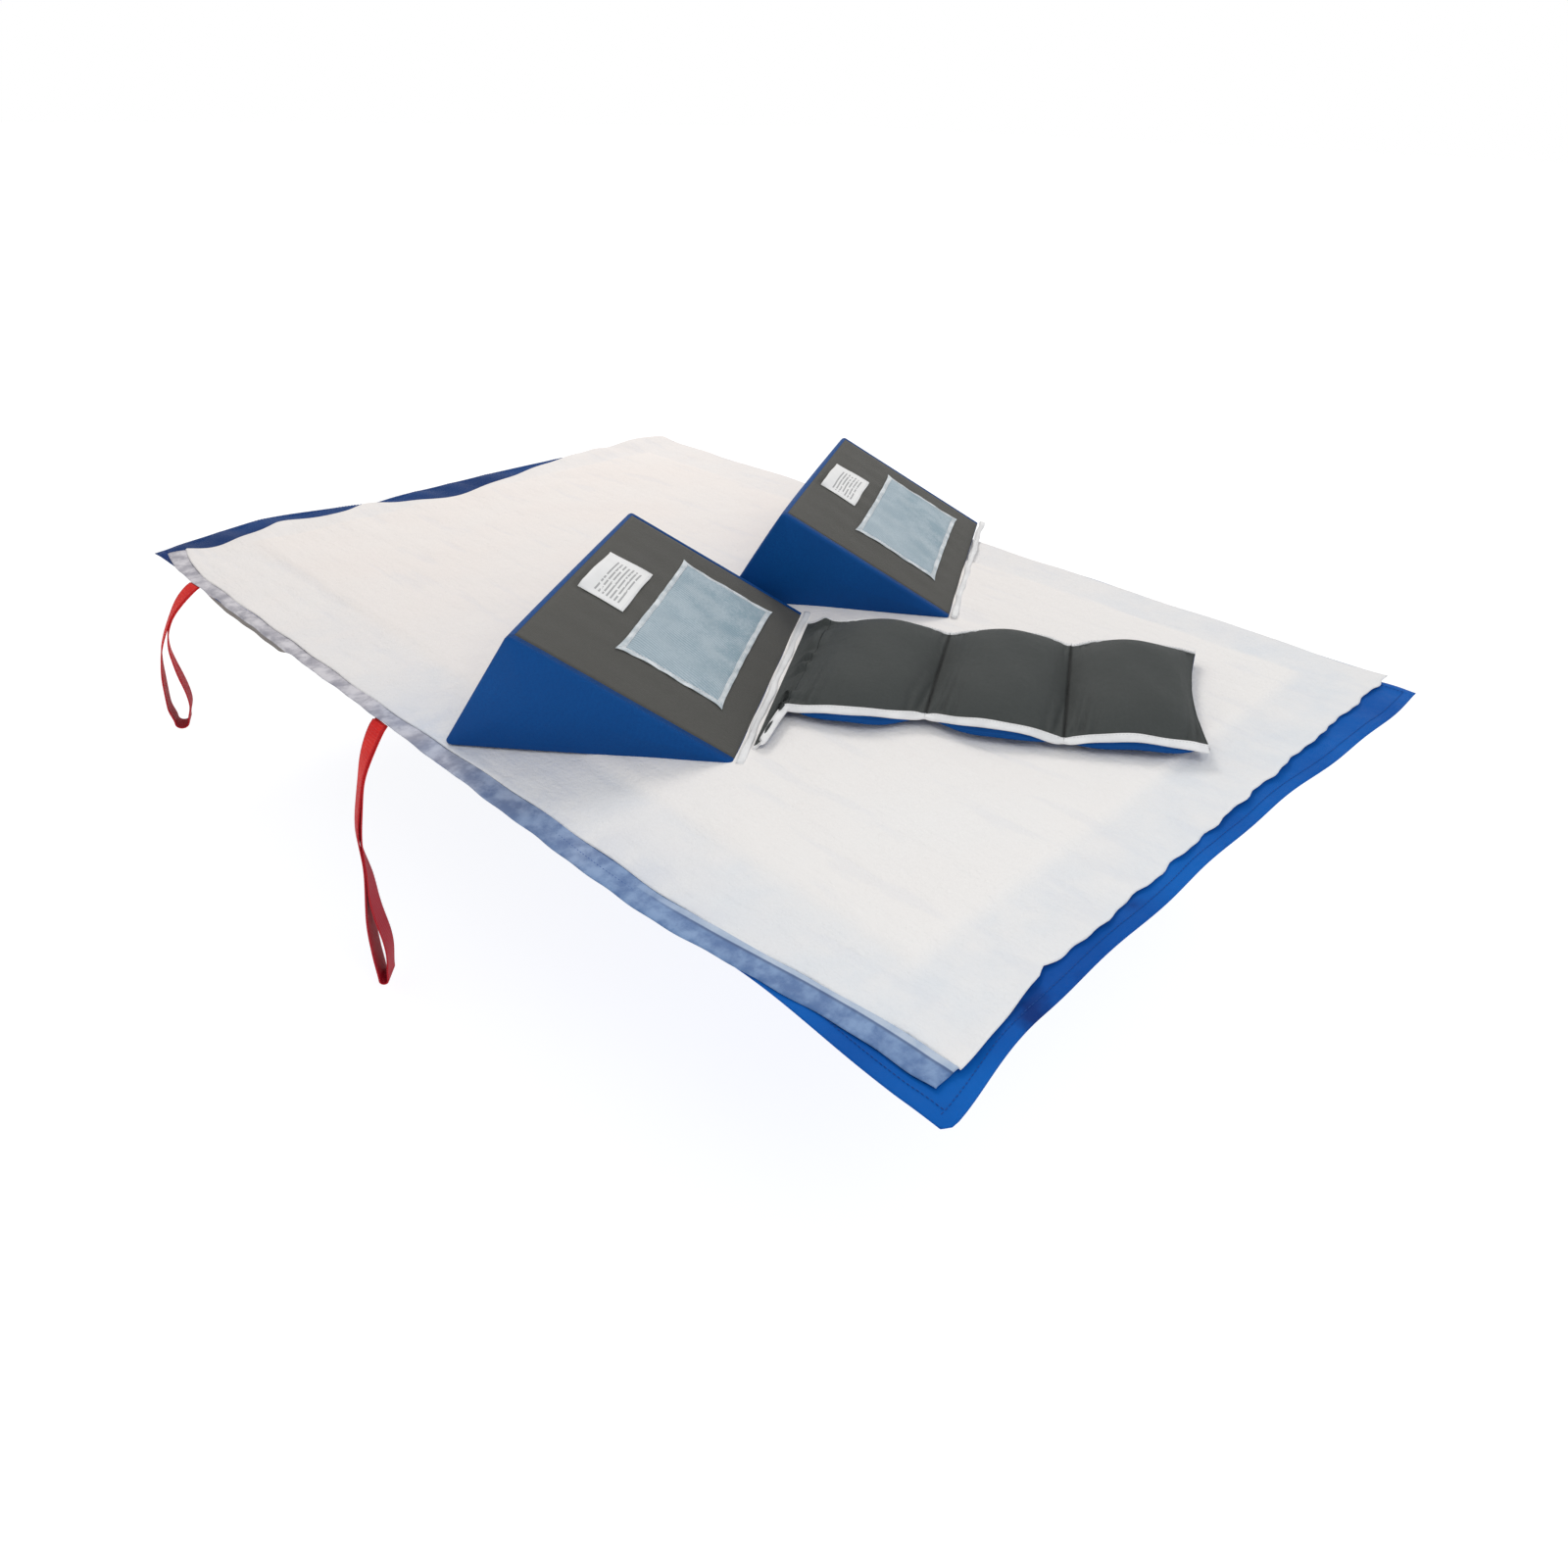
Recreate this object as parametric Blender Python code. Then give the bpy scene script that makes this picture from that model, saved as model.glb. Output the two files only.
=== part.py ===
"""A patient turning set: a glide sheet with pull straps, an absorbent pad and two foam wedges.

The origin is the centre of the glide sheet's underside, where it lies on the bed. +X runs along the sheet,
+Y crosses it from the near long edge to the far one, and +Z is up. The straps hang below the bed's face.
"""
import math

import bmesh
import bpy
from mathutils import Vector

# Driving dimensions, in metres; angles are in degrees where the name says so.
GAP = 0.0003

SHEET_LENGTH = 1.42
SHEET_WIDTH = 0.814
SHEET_THICK = 0.0015

WEBBING_WIDTH = 0.025
WEBBING_THICK = 0.0015
STRAP_END_LENGTH = 0.045
STRAP_TWIST_DEG = -90.0
TWIST_START_SHARE = 0.12
TWIST_END_SHARE = 0.6
LOOP_OPEN_SHARE = 0.7
NEAR_STRAP_REACH = 0.055
FAR_STRAP_REACH = 0.002
REACH_SHARE = 0.25
STRAP_PINCH = 0.0012
STRAP_LOOP_RADIUS = 0.0095
STRAP_STEPS = 12
STRAP_TURN_STEPS = 6
HEAD_STRAP_X = -0.5415
HEAD_STRAP_LENGTH = 0.19
HIP_STRAP_X = -0.035
HIP_STRAP_LENGTH = 0.30

PAD_SHORT_OF_FOOT = 0.030
PAD_SHORT_OF_NEAR = 0.002
PAD_PAST_FAR = 0.018
PAD_FILM_THICK = 0.0006
PAD_CLOTH_THICK = 0.0006
PAD_CORE_THICK = 0.003
PAD_MARGIN_NEAR = 0.025
PAD_MARGIN_FAR = 0.006
CORE_INSET_END = 0.09
CORE_INSET_SIDE = 0.08
CORE_RAMP = 0.012

WEDGE_LENGTH = 0.355
WEDGE_BASE = 0.288
WEDGE_HEIGHT = 0.122
WEDGE_SLOPE_DEG = 30.2
COVER_THICK = 0.0012
FRONT_WEDGE_X = 0.0616
FRONT_WEDGE_Y = -0.3937
FRONT_WEDGE_TURN_DEG = 36.4
REAR_WEDGE_STEP = 0.1799
REAR_WEDGE_GAP = 0.0263
REAR_WEDGE_TURN_DEG = 33.2

LABEL_DOWN = 0.0167
LABEL_ALONG = 0.137
LABEL_HEIGHT = 0.0525
LABEL_LENGTH = 0.101
LABEL_THICK = 0.0006
PATCH_DOWN = 0.088
PATCH_ALONG = 0.073
PATCH_HEIGHT = 0.1165
PATCH_LENGTH = 0.233
PATCH_THICK = 0.002
PATCH_BORDER = 0.009
PATCH_BORDER_THICK = 0.001

BINDING_WIDTH = 0.009
BINDING_THICK = 0.0024

ANCHOR_WIDTH = 0.222
ANCHOR_PITCH = 0.1405
ANCHOR_CENTRE = 0.200
ANCHOR_SKEW_DEG = 3.5
ANCHOR_CLOTH = 0.001
ANCHOR_CROWN = 0.014
CROWN_SQUARE_ALONG = 3
CROWN_SQUARE_ACROSS = 4
FLANGE_LENGTH = 0.0275
FLANGE_WIDTH = 0.300
FLANGE_NARROWS_FROM = 0.4

# Sizes worked out from the driving dimensions.
PAD_BOTTOM = SHEET_THICK + GAP
PAD_INNER = PAD_BOTTOM + PAD_FILM_THICK + GAP
CORE_TOP = PAD_INNER + PAD_CORE_THICK
PAD_TOP = CORE_TOP + GAP + PAD_CLOTH_THICK
WEDGE_FOOT = PAD_TOP + GAP
FRONT_TURN = math.radians(FRONT_WEDGE_TURN_DEG)
REAR_WEDGE_ALONG = WEDGE_LENGTH + REAR_WEDGE_GAP
REAR_WEDGE_X = FRONT_WEDGE_X + REAR_WEDGE_STEP * math.cos(FRONT_TURN) - REAR_WEDGE_ALONG * math.sin(FRONT_TURN)
REAR_WEDGE_Y = FRONT_WEDGE_Y + REAR_WEDGE_STEP * math.sin(FRONT_TURN) + REAR_WEDGE_ALONG * math.cos(FRONT_TURN)
SLOPE_ANGLE = math.radians(WEDGE_SLOPE_DEG)
RIDGE_IN = WEDGE_BASE - WEDGE_HEIGHT / math.tan(SLOPE_ANGLE)
ANCHOR_SKEW = math.radians(ANCHOR_SKEW_DEG)
STRAP_HALF_DEPTH = STRAP_PINCH + WEBBING_THICK / 2
FLANGE_START = WEDGE_BASE + BINDING_WIDTH + 2 * GAP
FLANGE_MID = GAP + BINDING_THICK / 2
ANCHOR_MID = GAP / 2 + ANCHOR_CROWN + ANCHOR_CLOTH
SEAM_SHARES = (0.0, 0.06, 0.2, 0.5, 0.8, 0.94, 1.0)
FLANGE_SHARES = (0.0, 0.2, 0.4, 0.6, 0.8)


for old in list(bpy.data.objects):
    bpy.data.objects.remove(old, do_unlink=True)

MODEL = bpy.data.collections.new("patient_turning_set")
CUTTERS = bpy.data.collections.new("cutters")
bpy.context.scene.collection.children.link(MODEL)
bpy.context.scene.collection.children.link(CUTTERS)


def finish(name, colour, roughness):
    """One fabric finish."""
    made = bpy.data.materials.new(name)
    made.use_nodes = True
    shader = made.node_tree.nodes["Principled BSDF"]
    shader.inputs["Base Color"].default_value = (*colour, 1.0)
    shader.inputs["Roughness"].default_value = roughness
    shader.inputs["Metallic"].default_value = 0.0
    return made


GLIDE_BLUE = finish("glide_blue", (0.010, 0.090, 0.450), 0.45)
STRAP_RED = finish("strap_red", (0.700, 0.015, 0.010), 0.60)
FILM_GREY = finish("film_grey", (0.450, 0.430, 0.500), 0.50)
CORE_WHITE = finish("core_white", (0.800, 0.780, 0.740), 0.95)
PAD_WHITE = finish("pad_white", (0.870, 0.820, 0.800), 0.90)
FOAM_CREAM = finish("foam_cream", (0.750, 0.700, 0.550), 0.95)
COVER_BLUE = finish("cover_blue", (0.010, 0.070, 0.300), 0.60)
COVER_GREY = finish("cover_grey", (0.105, 0.100, 0.090), 0.80)
LABEL_WHITE = finish("label_white", (0.850, 0.850, 0.850), 0.60)
PATCH_BLUE = finish("patch_blue", (0.300, 0.420, 0.480), 0.95)
BORDER_WHITE = finish("border_white", (0.620, 0.650, 0.670), 0.80)
BINDING_WHITE = finish("binding_white", (0.850, 0.850, 0.860), 0.70)
FIBRE_WHITE = finish("fibre_white", (0.800, 0.800, 0.780), 0.95)


def add(name, data, material, parent=None, collection=MODEL):
    """Links one object, in its parent's frame."""
    made = bpy.data.objects.new(name, data)
    collection.objects.link(made)
    made.parent = parent
    if material is not None:
        data.materials.append(material)
    return made


def frame(name, parent, point, turn=(0.0, 0.0, 0.0)):
    """An empty that carries pieces."""
    made = add(name, None, None, parent)
    made.location = point
    made.rotation_euler = turn
    return made


def block(name, low, high, material, parent=None, collection=MODEL):
    """A box between two corners."""
    mesh = bmesh.new()
    bmesh.ops.create_cube(mesh, size=1.0)
    size = Vector(high) - Vector(low)
    bmesh.ops.scale(mesh, vec=size, verts=mesh.verts)
    data = bpy.data.meshes.new(name)
    mesh.to_mesh(data)
    mesh.free()
    made = add(name, data, material, parent, collection)
    made.location = (Vector(low) + Vector(high)) / 2
    return made


def outline(name, rings, half_depth, material, parent):
    """A flat filled outline, as thick as twice half_depth."""
    data = bpy.data.curves.new(name, "CURVE")
    data.dimensions = "2D"
    data.fill_mode = "BOTH"
    data.extrude = half_depth
    for ring in rings:
        spline = data.splines.new("POLY")
        spline.points.add(len(ring) - 1)
        for point, (x, y) in zip(spline.points, ring):
            point.co = (x, y, 0.0, 1.0)
        spline.use_cyclic_u = True
    return add(name, data, material, parent)


def prism(name, corners, start, end, material, parent):
    """A section in the wedge's XZ plane, drawn out along Y from start to end."""
    made = outline(name, [corners], (end - start) / 2, material, parent)
    made.rotation_euler = (math.pi / 2, 0.0, 0.0)
    made.location = (0.0, (start + end) / 2, 0.0)
    return made


def cloth_layer(name, columns, rows, place, material, parent):
    """A closed layer over a grid; place(column, row, over) gives its under and over points."""
    mesh = bmesh.new()
    bmesh.ops.create_grid(mesh, x_segments=len(columns) - 1, y_segments=len(rows) - 1, size=0.5)
    made = bmesh.ops.extrude_face_region(mesh, geom=mesh.faces[:], use_keep_orig=True)
    over = {vert for vert in made["geom"] if isinstance(vert, bmesh.types.BMVert)}
    for vert in mesh.verts:
        column = columns[round((vert.co.x + 0.5) * (len(columns) - 1))]
        row = rows[round((vert.co.y + 0.5) * (len(rows) - 1))]
        vert.co = place(column, row, vert in over)
    bmesh.ops.triangulate(mesh, faces=mesh.faces[:], quad_method="SHORT_EDGE")
    bmesh.ops.recalc_face_normals(mesh, faces=mesh.faces[:])
    data = bpy.data.meshes.new(name)
    mesh.to_mesh(data)
    mesh.free()
    return add(name, data, material, parent)


def smooth(value):
    """Eases from 0 to 1."""
    value = min(max(value, 0.0), 1.0)
    return value * value * (3 - 2 * value)


# The glide sheet, with a notch in its hem for each strap's sewn end.
STRAPS = {
    "near_head": (HEAD_STRAP_X, -1, HEAD_STRAP_LENGTH, NEAR_STRAP_REACH),
    "near_hip": (HIP_STRAP_X, -1, HIP_STRAP_LENGTH, NEAR_STRAP_REACH),
    "far_head": (HEAD_STRAP_X, 1, HEAD_STRAP_LENGTH, FAR_STRAP_REACH),
    "far_hip": (HIP_STRAP_X, 1, HIP_STRAP_LENGTH, FAR_STRAP_REACH),
}


def glide_sheet():
    """The slippery sheet that lies on the bed."""
    half = Vector((SHEET_LENGTH / 2, SHEET_WIDTH / 2, 0.0))
    sheet = block("glide_sheet", -half, half + Vector((0, 0, SHEET_THICK)), GLIDE_BLUE)
    for name, (x, side, _, _) in STRAPS.items():
        reach = sorted((side * (SHEET_WIDTH / 2 - STRAP_END_LENGTH - GAP), side * SHEET_WIDTH))
        low = (x - WEBBING_WIDTH / 2 - GAP, reach[0], -SHEET_THICK)
        high = (x + WEBBING_WIDTH / 2 + GAP, reach[1], 2 * SHEET_THICK)
        notch = block(name + "_notch", low, high, None, None, CUTTERS)
        notch.hide_render = True
        notch.display_type = "WIRE"
        cut = sheet.modifiers.new(name + "_notch", "BOOLEAN")
        cut.operation = "DIFFERENCE"
        cut.object = notch


def loop_line(length):
    """The webbing loop's middle line, flat: (offset, depth) down one run and up the other."""
    turn_depth = length - STRAP_LOOP_RADIUS - WEBBING_THICK / 2
    run = []
    for step in range(STRAP_STEPS + 1):
        share = step / STRAP_STEPS
        offset = STRAP_PINCH + (STRAP_LOOP_RADIUS - STRAP_PINCH) * smooth(share / LOOP_OPEN_SHARE)
        run.append(Vector((offset, share * turn_depth)))
    turn = []
    for step in range(1, STRAP_TURN_STEPS):
        angle = math.pi * step / STRAP_TURN_STEPS
        across = STRAP_LOOP_RADIUS * math.cos(angle)
        turn.append(Vector((across, turn_depth + STRAP_LOOP_RADIUS * math.sin(angle))))
    back = [Vector((-point.x, point.y)) for point in reversed(run)]
    return run + turn + back


def pull_strap(name, x, side, length, reach):
    """A webbing loop that hangs from the sheet's hem and turns a quarter on its way down.

    It swings about the outer face of its two runs, so it lifts without meeting the pad.
    """
    hinge_y = side * (SHEET_WIDTH / 2 + GAP + 2 * STRAP_HALF_DEPTH)
    hinge = frame(name + "_strap_hinge", None, (x, hinge_y, SHEET_THICK / 2))
    line = loop_line(length)
    mesh = bmesh.new()
    rings = []
    for index, point in enumerate(line):
        before = line[max(index - 1, 0)]
        after = line[min(index + 1, len(line) - 1)]
        tangent = (after - before).normalized()
        normal = Vector((-tangent.y, tangent.x))
        ring = []
        for out, wide in ((-1, -1), (1, -1), (1, 1), (-1, 1)):
            spot = point + normal * out * WEBBING_THICK / 2
            depth = spot.y / length
            turned = smooth((depth - TWIST_START_SHARE) / (TWIST_END_SHARE - TWIST_START_SHARE))
            twist = math.radians(STRAP_TWIST_DEG) * turned
            out_share = math.sqrt(min(max(depth, 0.0) / REACH_SHARE, 1.0))
            drape = reach * math.sin(math.pi / 2 * out_share) - STRAP_HALF_DEPTH
            across = wide * WEBBING_WIDTH / 2
            east = across * math.cos(twist) + spot.x * math.sin(twist)
            outward = spot.x * math.cos(twist) - across * math.sin(twist) + drape
            ring.append(mesh.verts.new((east, side * outward, -spot.y)))
        rings.append(ring)
    for here, there in zip(rings, rings[1:]):
        for corner in range(4):
            following = (corner + 1) % 4
            mesh.faces.new((here[corner], here[following], there[following], there[corner]))
    mesh.faces.new(rings[0])
    mesh.faces.new(rings[-1])
    bmesh.ops.triangulate(mesh, faces=mesh.faces[:], quad_method="SHORT_EDGE")
    bmesh.ops.recalc_face_normals(mesh, faces=mesh.faces[:])
    data = bpy.data.meshes.new(name)
    mesh.to_mesh(data)
    mesh.free()
    add("pull_strap_" + name, data, STRAP_RED, hinge)


def strap_end(name, x, side):
    """The strap's sewn end, in the hem."""
    reach = sorted((side * (SHEET_WIDTH / 2 - STRAP_END_LENGTH), side * SHEET_WIDTH / 2))
    half = WEBBING_WIDTH / 2
    block("strap_end_" + name, (x - half, reach[0], 0.0), (x + half, reach[1], SHEET_THICK), STRAP_RED)


def absorbent_pad():
    """Backing film, absorbent core and a soft top sheet that steps up over the core."""
    low_x = -SHEET_LENGTH / 2
    high_x = SHEET_LENGTH / 2 - PAD_SHORT_OF_FOOT
    low_y = PAD_SHORT_OF_NEAR - SHEET_WIDTH / 2
    high_y = SHEET_WIDTH / 2 + PAD_PAST_FAR
    film_top = PAD_BOTTOM + PAD_FILM_THICK
    block("pad_film", (low_x, low_y, PAD_BOTTOM), (high_x, high_y, film_top), FILM_GREY)
    top_low = low_y + PAD_MARGIN_NEAR
    top_high = high_y - PAD_MARGIN_FAR
    core_x = (low_x + CORE_INSET_END, high_x - CORE_INSET_END)
    core_y = (top_low + CORE_INSET_SIDE, top_high - CORE_INSET_SIDE)
    block("pad_core", (core_x[0], core_y[0], PAD_INNER), (core_x[1], core_y[1], CORE_TOP), CORE_WHITE)
    columns = (low_x, core_x[0] - CORE_RAMP, core_x[0] - GAP, core_x[1] + GAP, core_x[1] + CORE_RAMP, high_x)
    rows = (top_low, core_y[0] - CORE_RAMP, core_y[0] - GAP, core_y[1] + GAP, core_y[1] + CORE_RAMP, top_high)

    def place(x, y, over):
        raised = columns[1] < x < columns[4] and rows[1] < y < rows[4]
        z = CORE_TOP + GAP if raised else PAD_INNER
        return (x, y, z + PAD_CLOTH_THICK if over else z)

    cloth_layer("pad_top_sheet", columns, rows, place, PAD_WHITE, None)


def inset(corners, distance):
    """The corners of a counter-clockwise outline moved inwards by distance."""
    moved = []
    count = len(corners)
    for index in range(count):
        here = Vector(corners[index])
        before = (here - Vector(corners[index - 1])).normalized()
        after = (Vector(corners[(index + 1) % count]) - here).normalized()
        half_turn = (math.pi - before.angle(after)) / 2
        inward = (after - before).normalized()
        moved.append(here + inward * distance / math.sin(half_turn))
    return moved


def panel_section(outer, inner, index):
    """One side of the cover in section, mitred to its neighbours with a gap."""
    count = len(outer)
    start = Vector(outer[index])
    end = Vector(outer[(index + 1) % count])
    along = (end - start).normalized()
    before = (start - Vector(outer[index - 1])).normalized()
    after = (Vector(outer[(index + 2) % count]) - end).normalized()
    start_shift = GAP / 2 / math.sin((math.pi - before.angle(along)) / 2)
    end_shift = GAP / 2 / math.sin((math.pi - along.angle(after)) / 2)
    inner_start = inner[index]
    inner_end = inner[(index + 1) % count]
    return [
        start + along * start_shift,
        end - along * end_shift,
        inner_end - along * end_shift,
        inner_start + along * start_shift,
    ]


def wedge(name, x, y, turn_deg):
    """A foam wedge in a sewn cover of five panels, with a label, a grip patch and a bound thin edge."""
    base = frame(name + "_wedge_frame", None, (x, y, WEDGE_FOOT), (0.0, 0.0, math.radians(turn_deg)))
    outer = [(0.0, 0.0), (WEDGE_BASE, 0.0), (RIDGE_IN, WEDGE_HEIGHT)]
    inner = inset(outer, COVER_THICK)
    side_start = COVER_THICK + GAP
    side_end = WEDGE_LENGTH - COVER_THICK - GAP
    for index, part in enumerate(("base_panel", "slope_panel", "back_panel")):
        colour = COVER_GREY if part == "slope_panel" else COVER_BLUE
        section = panel_section(outer, inner, index)
        prism(f"{name}_{part}", section, side_start, side_end, colour, base)
    prism(f"{name}_near_end_panel", outer, 0.0, COVER_THICK, COVER_BLUE, base)
    prism(f"{name}_far_end_panel", outer, WEDGE_LENGTH - COVER_THICK, WEDGE_LENGTH, COVER_BLUE, base)
    core = inset(outer, COVER_THICK + GAP)
    prism(f"{name}_foam", core, side_start, side_end, FOAM_CREAM, base)
    bound_low = (WEDGE_BASE + GAP, 0.0, GAP)
    bound_high = (WEDGE_BASE + GAP + BINDING_WIDTH, WEDGE_LENGTH, GAP + BINDING_THICK)
    block(f"{name}_edge_binding", bound_low, bound_high, BINDING_WHITE, base)
    slope = frame(name + "_slope_frame", base, (RIDGE_IN, 0.0, WEDGE_HEIGHT), (0.0, SLOPE_ANGLE, 0.0))
    label_low = Vector((LABEL_DOWN, LABEL_ALONG, GAP))
    label_size = Vector((LABEL_HEIGHT, LABEL_LENGTH, LABEL_THICK))
    block(f"{name}_label", label_low, label_low + label_size, LABEL_WHITE, slope)
    rim_low = Vector((PATCH_DOWN, PATCH_ALONG))
    rim_high = rim_low + Vector((PATCH_HEIGHT, PATCH_LENGTH))
    edge = Vector((PATCH_BORDER, PATCH_BORDER))
    slack = Vector((GAP, GAP))
    rings = [rectangle(rim_low, rim_high), rectangle(rim_low + edge, rim_high - edge)]
    border = outline(f"{name}_patch_border", rings, PATCH_BORDER_THICK / 2, BORDER_WHITE, slope)
    border.location = (0.0, 0.0, GAP + PATCH_BORDER_THICK / 2)
    patch_low = (*(rim_low + edge + slack), GAP)
    patch_high = (*(rim_high - edge - slack), GAP + PATCH_THICK)
    block(f"{name}_grip_patch", patch_low, patch_high, PATCH_BLUE, slope)
    return base


def rectangle(low, high):
    """The corners of a rectangle, counter-clockwise."""
    return [(low.x, low.y), (high.x, low.y), (high.x, high.y), (low.x, high.y)]


def flange_share(s):
    """0 on the flange, 1 on the padded strip."""
    return smooth((s / FLANGE_LENGTH - FLANGE_NARROWS_FROM) / (1 - FLANGE_NARROWS_FROM))


def edge_line(s, side, inwards):
    """The strip's near (-1) or far (1) edge at distance s from the wedge, moved inwards."""
    flange = WEDGE_LENGTH / 2 - ANCHOR_CENTRE + side * FLANGE_WIDTH / 2
    strip = side * ANCHOR_WIDTH / 2
    share = flange_share(s)
    return flange * (1 - share) + strip * share - side * inwards


def anchor_point(s, w, height):
    """A point of the anchor strip in its own frame; the flange starts parallel to the wedge's edge."""
    start = max(1 - s / FLANGE_LENGTH, 0.0)
    middle = FLANGE_MID + (ANCHOR_MID - FLANGE_MID) * smooth(s / FLANGE_LENGTH)
    return (s - start * w * math.tan(ANCHOR_SKEW), w, middle + height)


def crown(s_share, w_share):
    """How far the filling lifts the cloth, as a share of the full crown."""
    if s_share <= 0.0 or s_share >= 1.0:
        return 0.0
    along = 1 - abs(2 * s_share - 1) ** CROWN_SQUARE_ALONG
    return along * (1 - abs(2 * w_share - 1) ** CROWN_SQUARE_ACROSS)


def anchor_section(name, number, hinge):
    """One padded section: top and bottom cloth, filling, and a length of binding on each side."""
    start = FLANGE_LENGTH + number * ANCHOR_PITCH
    columns = [start + share * ANCHOR_PITCH for share in SEAM_SHARES]
    columns[0] += GAP / 2
    columns[-1] -= GAP / 2
    if number == 0:
        columns = [share * FLANGE_LENGTH for share in FLANGE_SHARES] + [start] + columns[1:]
    cloth_in = BINDING_WIDTH + GAP

    def height(s, w_share):
        return ANCHOR_CROWN * crown((s - start) / ANCHOR_PITCH, w_share)

    def cloth(side):
        def place(s, w_share, over):
            near = edge_line(s, -1, cloth_in)
            far = edge_line(s, 1, cloth_in)
            level = side * (GAP / 2 + height(s, w_share))
            level += side * ANCHOR_CLOTH if over == (side > 0) else 0.0
            return anchor_point(s, near + (far - near) * w_share, level)

        return place

    def filling(s, w_share, over):
        near = edge_line(s, -1, cloth_in)
        far = edge_line(s, 1, cloth_in)
        level = height(s, w_share) - GAP
        return anchor_point(s, near + (far - near) * w_share, level if over else -level)

    def binding(side):
        def place(s, share, over):
            w = edge_line(s, side, BINDING_WIDTH * share)
            return anchor_point(s, w, BINDING_THICK / 2 if over else -BINDING_THICK / 2)

        return place

    inner = [start + share * ANCHOR_PITCH for share in SEAM_SHARES[1:-1]]
    pieces = (
        ("top_cloth", columns, SEAM_SHARES, cloth(1), COVER_GREY),
        ("bottom_cloth", columns, SEAM_SHARES, cloth(-1), COVER_BLUE),
        ("filling", inner, SEAM_SHARES[1:-1], filling, FIBRE_WHITE),
        ("near_binding", columns, (0.0, 1.0), binding(-1), BINDING_WHITE),
        ("far_binding", columns, (0.0, 1.0), binding(1), BINDING_WHITE),
    )
    for part, lines, rows, place, material in pieces:
        made = cloth_layer(f"anchor_{name}_{part}", lines, rows, place, material, hinge)
        made.location = -HINGE_POINTS[name]


HINGE_POINTS = {
    "inner": Vector((-GAP / 2, 0.0, FLANGE_MID + BINDING_THICK / 2)),
    "middle": Vector((FLANGE_LENGTH + ANCHOR_PITCH, 0.0, ANCHOR_MID + BINDING_THICK / 2)),
    "outer": Vector((FLANGE_LENGTH + 2 * ANCHOR_PITCH, 0.0, ANCHOR_MID + BINDING_THICK / 2)),
}

glide_sheet()
for strap_name, (strap_x, strap_side, strap_length, strap_reach) in STRAPS.items():
    strap_end(strap_name, strap_x, strap_side)
    pull_strap(strap_name, strap_x, strap_side, strap_length, strap_reach)
absorbent_pad()
FRONT = wedge("front", FRONT_WEDGE_X, FRONT_WEDGE_Y, FRONT_WEDGE_TURN_DEG)
wedge("rear", REAR_WEDGE_X, REAR_WEDGE_Y, REAR_WEDGE_TURN_DEG)

# The anchor strip folds at the wedge's thin edge and at its two cross seams.
ANCHOR = frame("anchor_frame", FRONT, (FLANGE_START, ANCHOR_CENTRE, 0.0), (0.0, 0.0, -ANCHOR_SKEW))
carrier = ANCHOR
carrier_point = Vector((0.0, 0.0, 0.0))
for section_number, section_name in enumerate(HINGE_POINTS):
    section_point = HINGE_POINTS[section_name]
    carrier = frame(f"anchor_{section_name}_hinge", carrier, section_point - carrier_point)
    carrier_point = section_point
    anchor_section(section_name, section_number, carrier)
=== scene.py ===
import math

import bmesh
import bpy
import numpy as np
from mathutils import Matrix, Vector


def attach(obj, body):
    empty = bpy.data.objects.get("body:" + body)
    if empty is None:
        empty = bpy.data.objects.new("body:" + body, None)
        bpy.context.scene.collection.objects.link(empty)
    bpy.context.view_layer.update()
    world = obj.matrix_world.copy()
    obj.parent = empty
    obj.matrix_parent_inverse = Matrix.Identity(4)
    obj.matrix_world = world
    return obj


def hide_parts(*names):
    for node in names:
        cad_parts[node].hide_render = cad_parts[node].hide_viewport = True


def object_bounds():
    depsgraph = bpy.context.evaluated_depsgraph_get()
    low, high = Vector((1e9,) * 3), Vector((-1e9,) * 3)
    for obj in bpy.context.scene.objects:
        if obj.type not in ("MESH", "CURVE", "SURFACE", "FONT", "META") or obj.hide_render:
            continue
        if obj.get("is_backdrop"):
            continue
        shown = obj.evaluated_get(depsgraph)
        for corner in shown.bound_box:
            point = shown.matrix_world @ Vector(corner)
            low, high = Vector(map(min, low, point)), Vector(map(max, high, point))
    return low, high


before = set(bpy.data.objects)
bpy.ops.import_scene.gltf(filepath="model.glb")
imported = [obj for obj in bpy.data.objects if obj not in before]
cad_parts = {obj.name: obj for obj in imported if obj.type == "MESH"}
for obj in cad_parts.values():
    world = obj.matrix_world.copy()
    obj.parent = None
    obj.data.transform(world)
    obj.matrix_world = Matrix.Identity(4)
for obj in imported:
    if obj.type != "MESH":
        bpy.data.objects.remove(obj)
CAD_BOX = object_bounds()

# The studio: a plain white floor under the hanging straps, a white surround, and large soft lamps.
# The viewer stands at the foot end and looks along the sheet's near edge, a little down.
EYE = Vector((1.035, -0.8112, 0.5876))
LOOK_YAW = math.radians(-40.559)
LOOK_PITCH = math.radians(23.855)
LOOK_ROLL = math.radians(1.682)
ahead = Vector((
    math.cos(LOOK_PITCH) * math.sin(LOOK_YAW),
    math.cos(LOOK_PITCH) * math.cos(LOOK_YAW),
    -math.sin(LOOK_PITCH),
))
level = ahead.cross(Vector((0.0, 0.0, 1.0))).normalized()
upright = level.cross(ahead)
to_right = level * math.cos(LOOK_ROLL) + upright * math.sin(LOOK_ROLL)
to_top = upright * math.cos(LOOK_ROLL) - level * math.sin(LOOK_ROLL)


def added(name, data):
    """A new object in the scene."""
    made = bpy.data.objects.new(name, data)
    bpy.context.scene.collection.objects.link(made)
    return made


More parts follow.
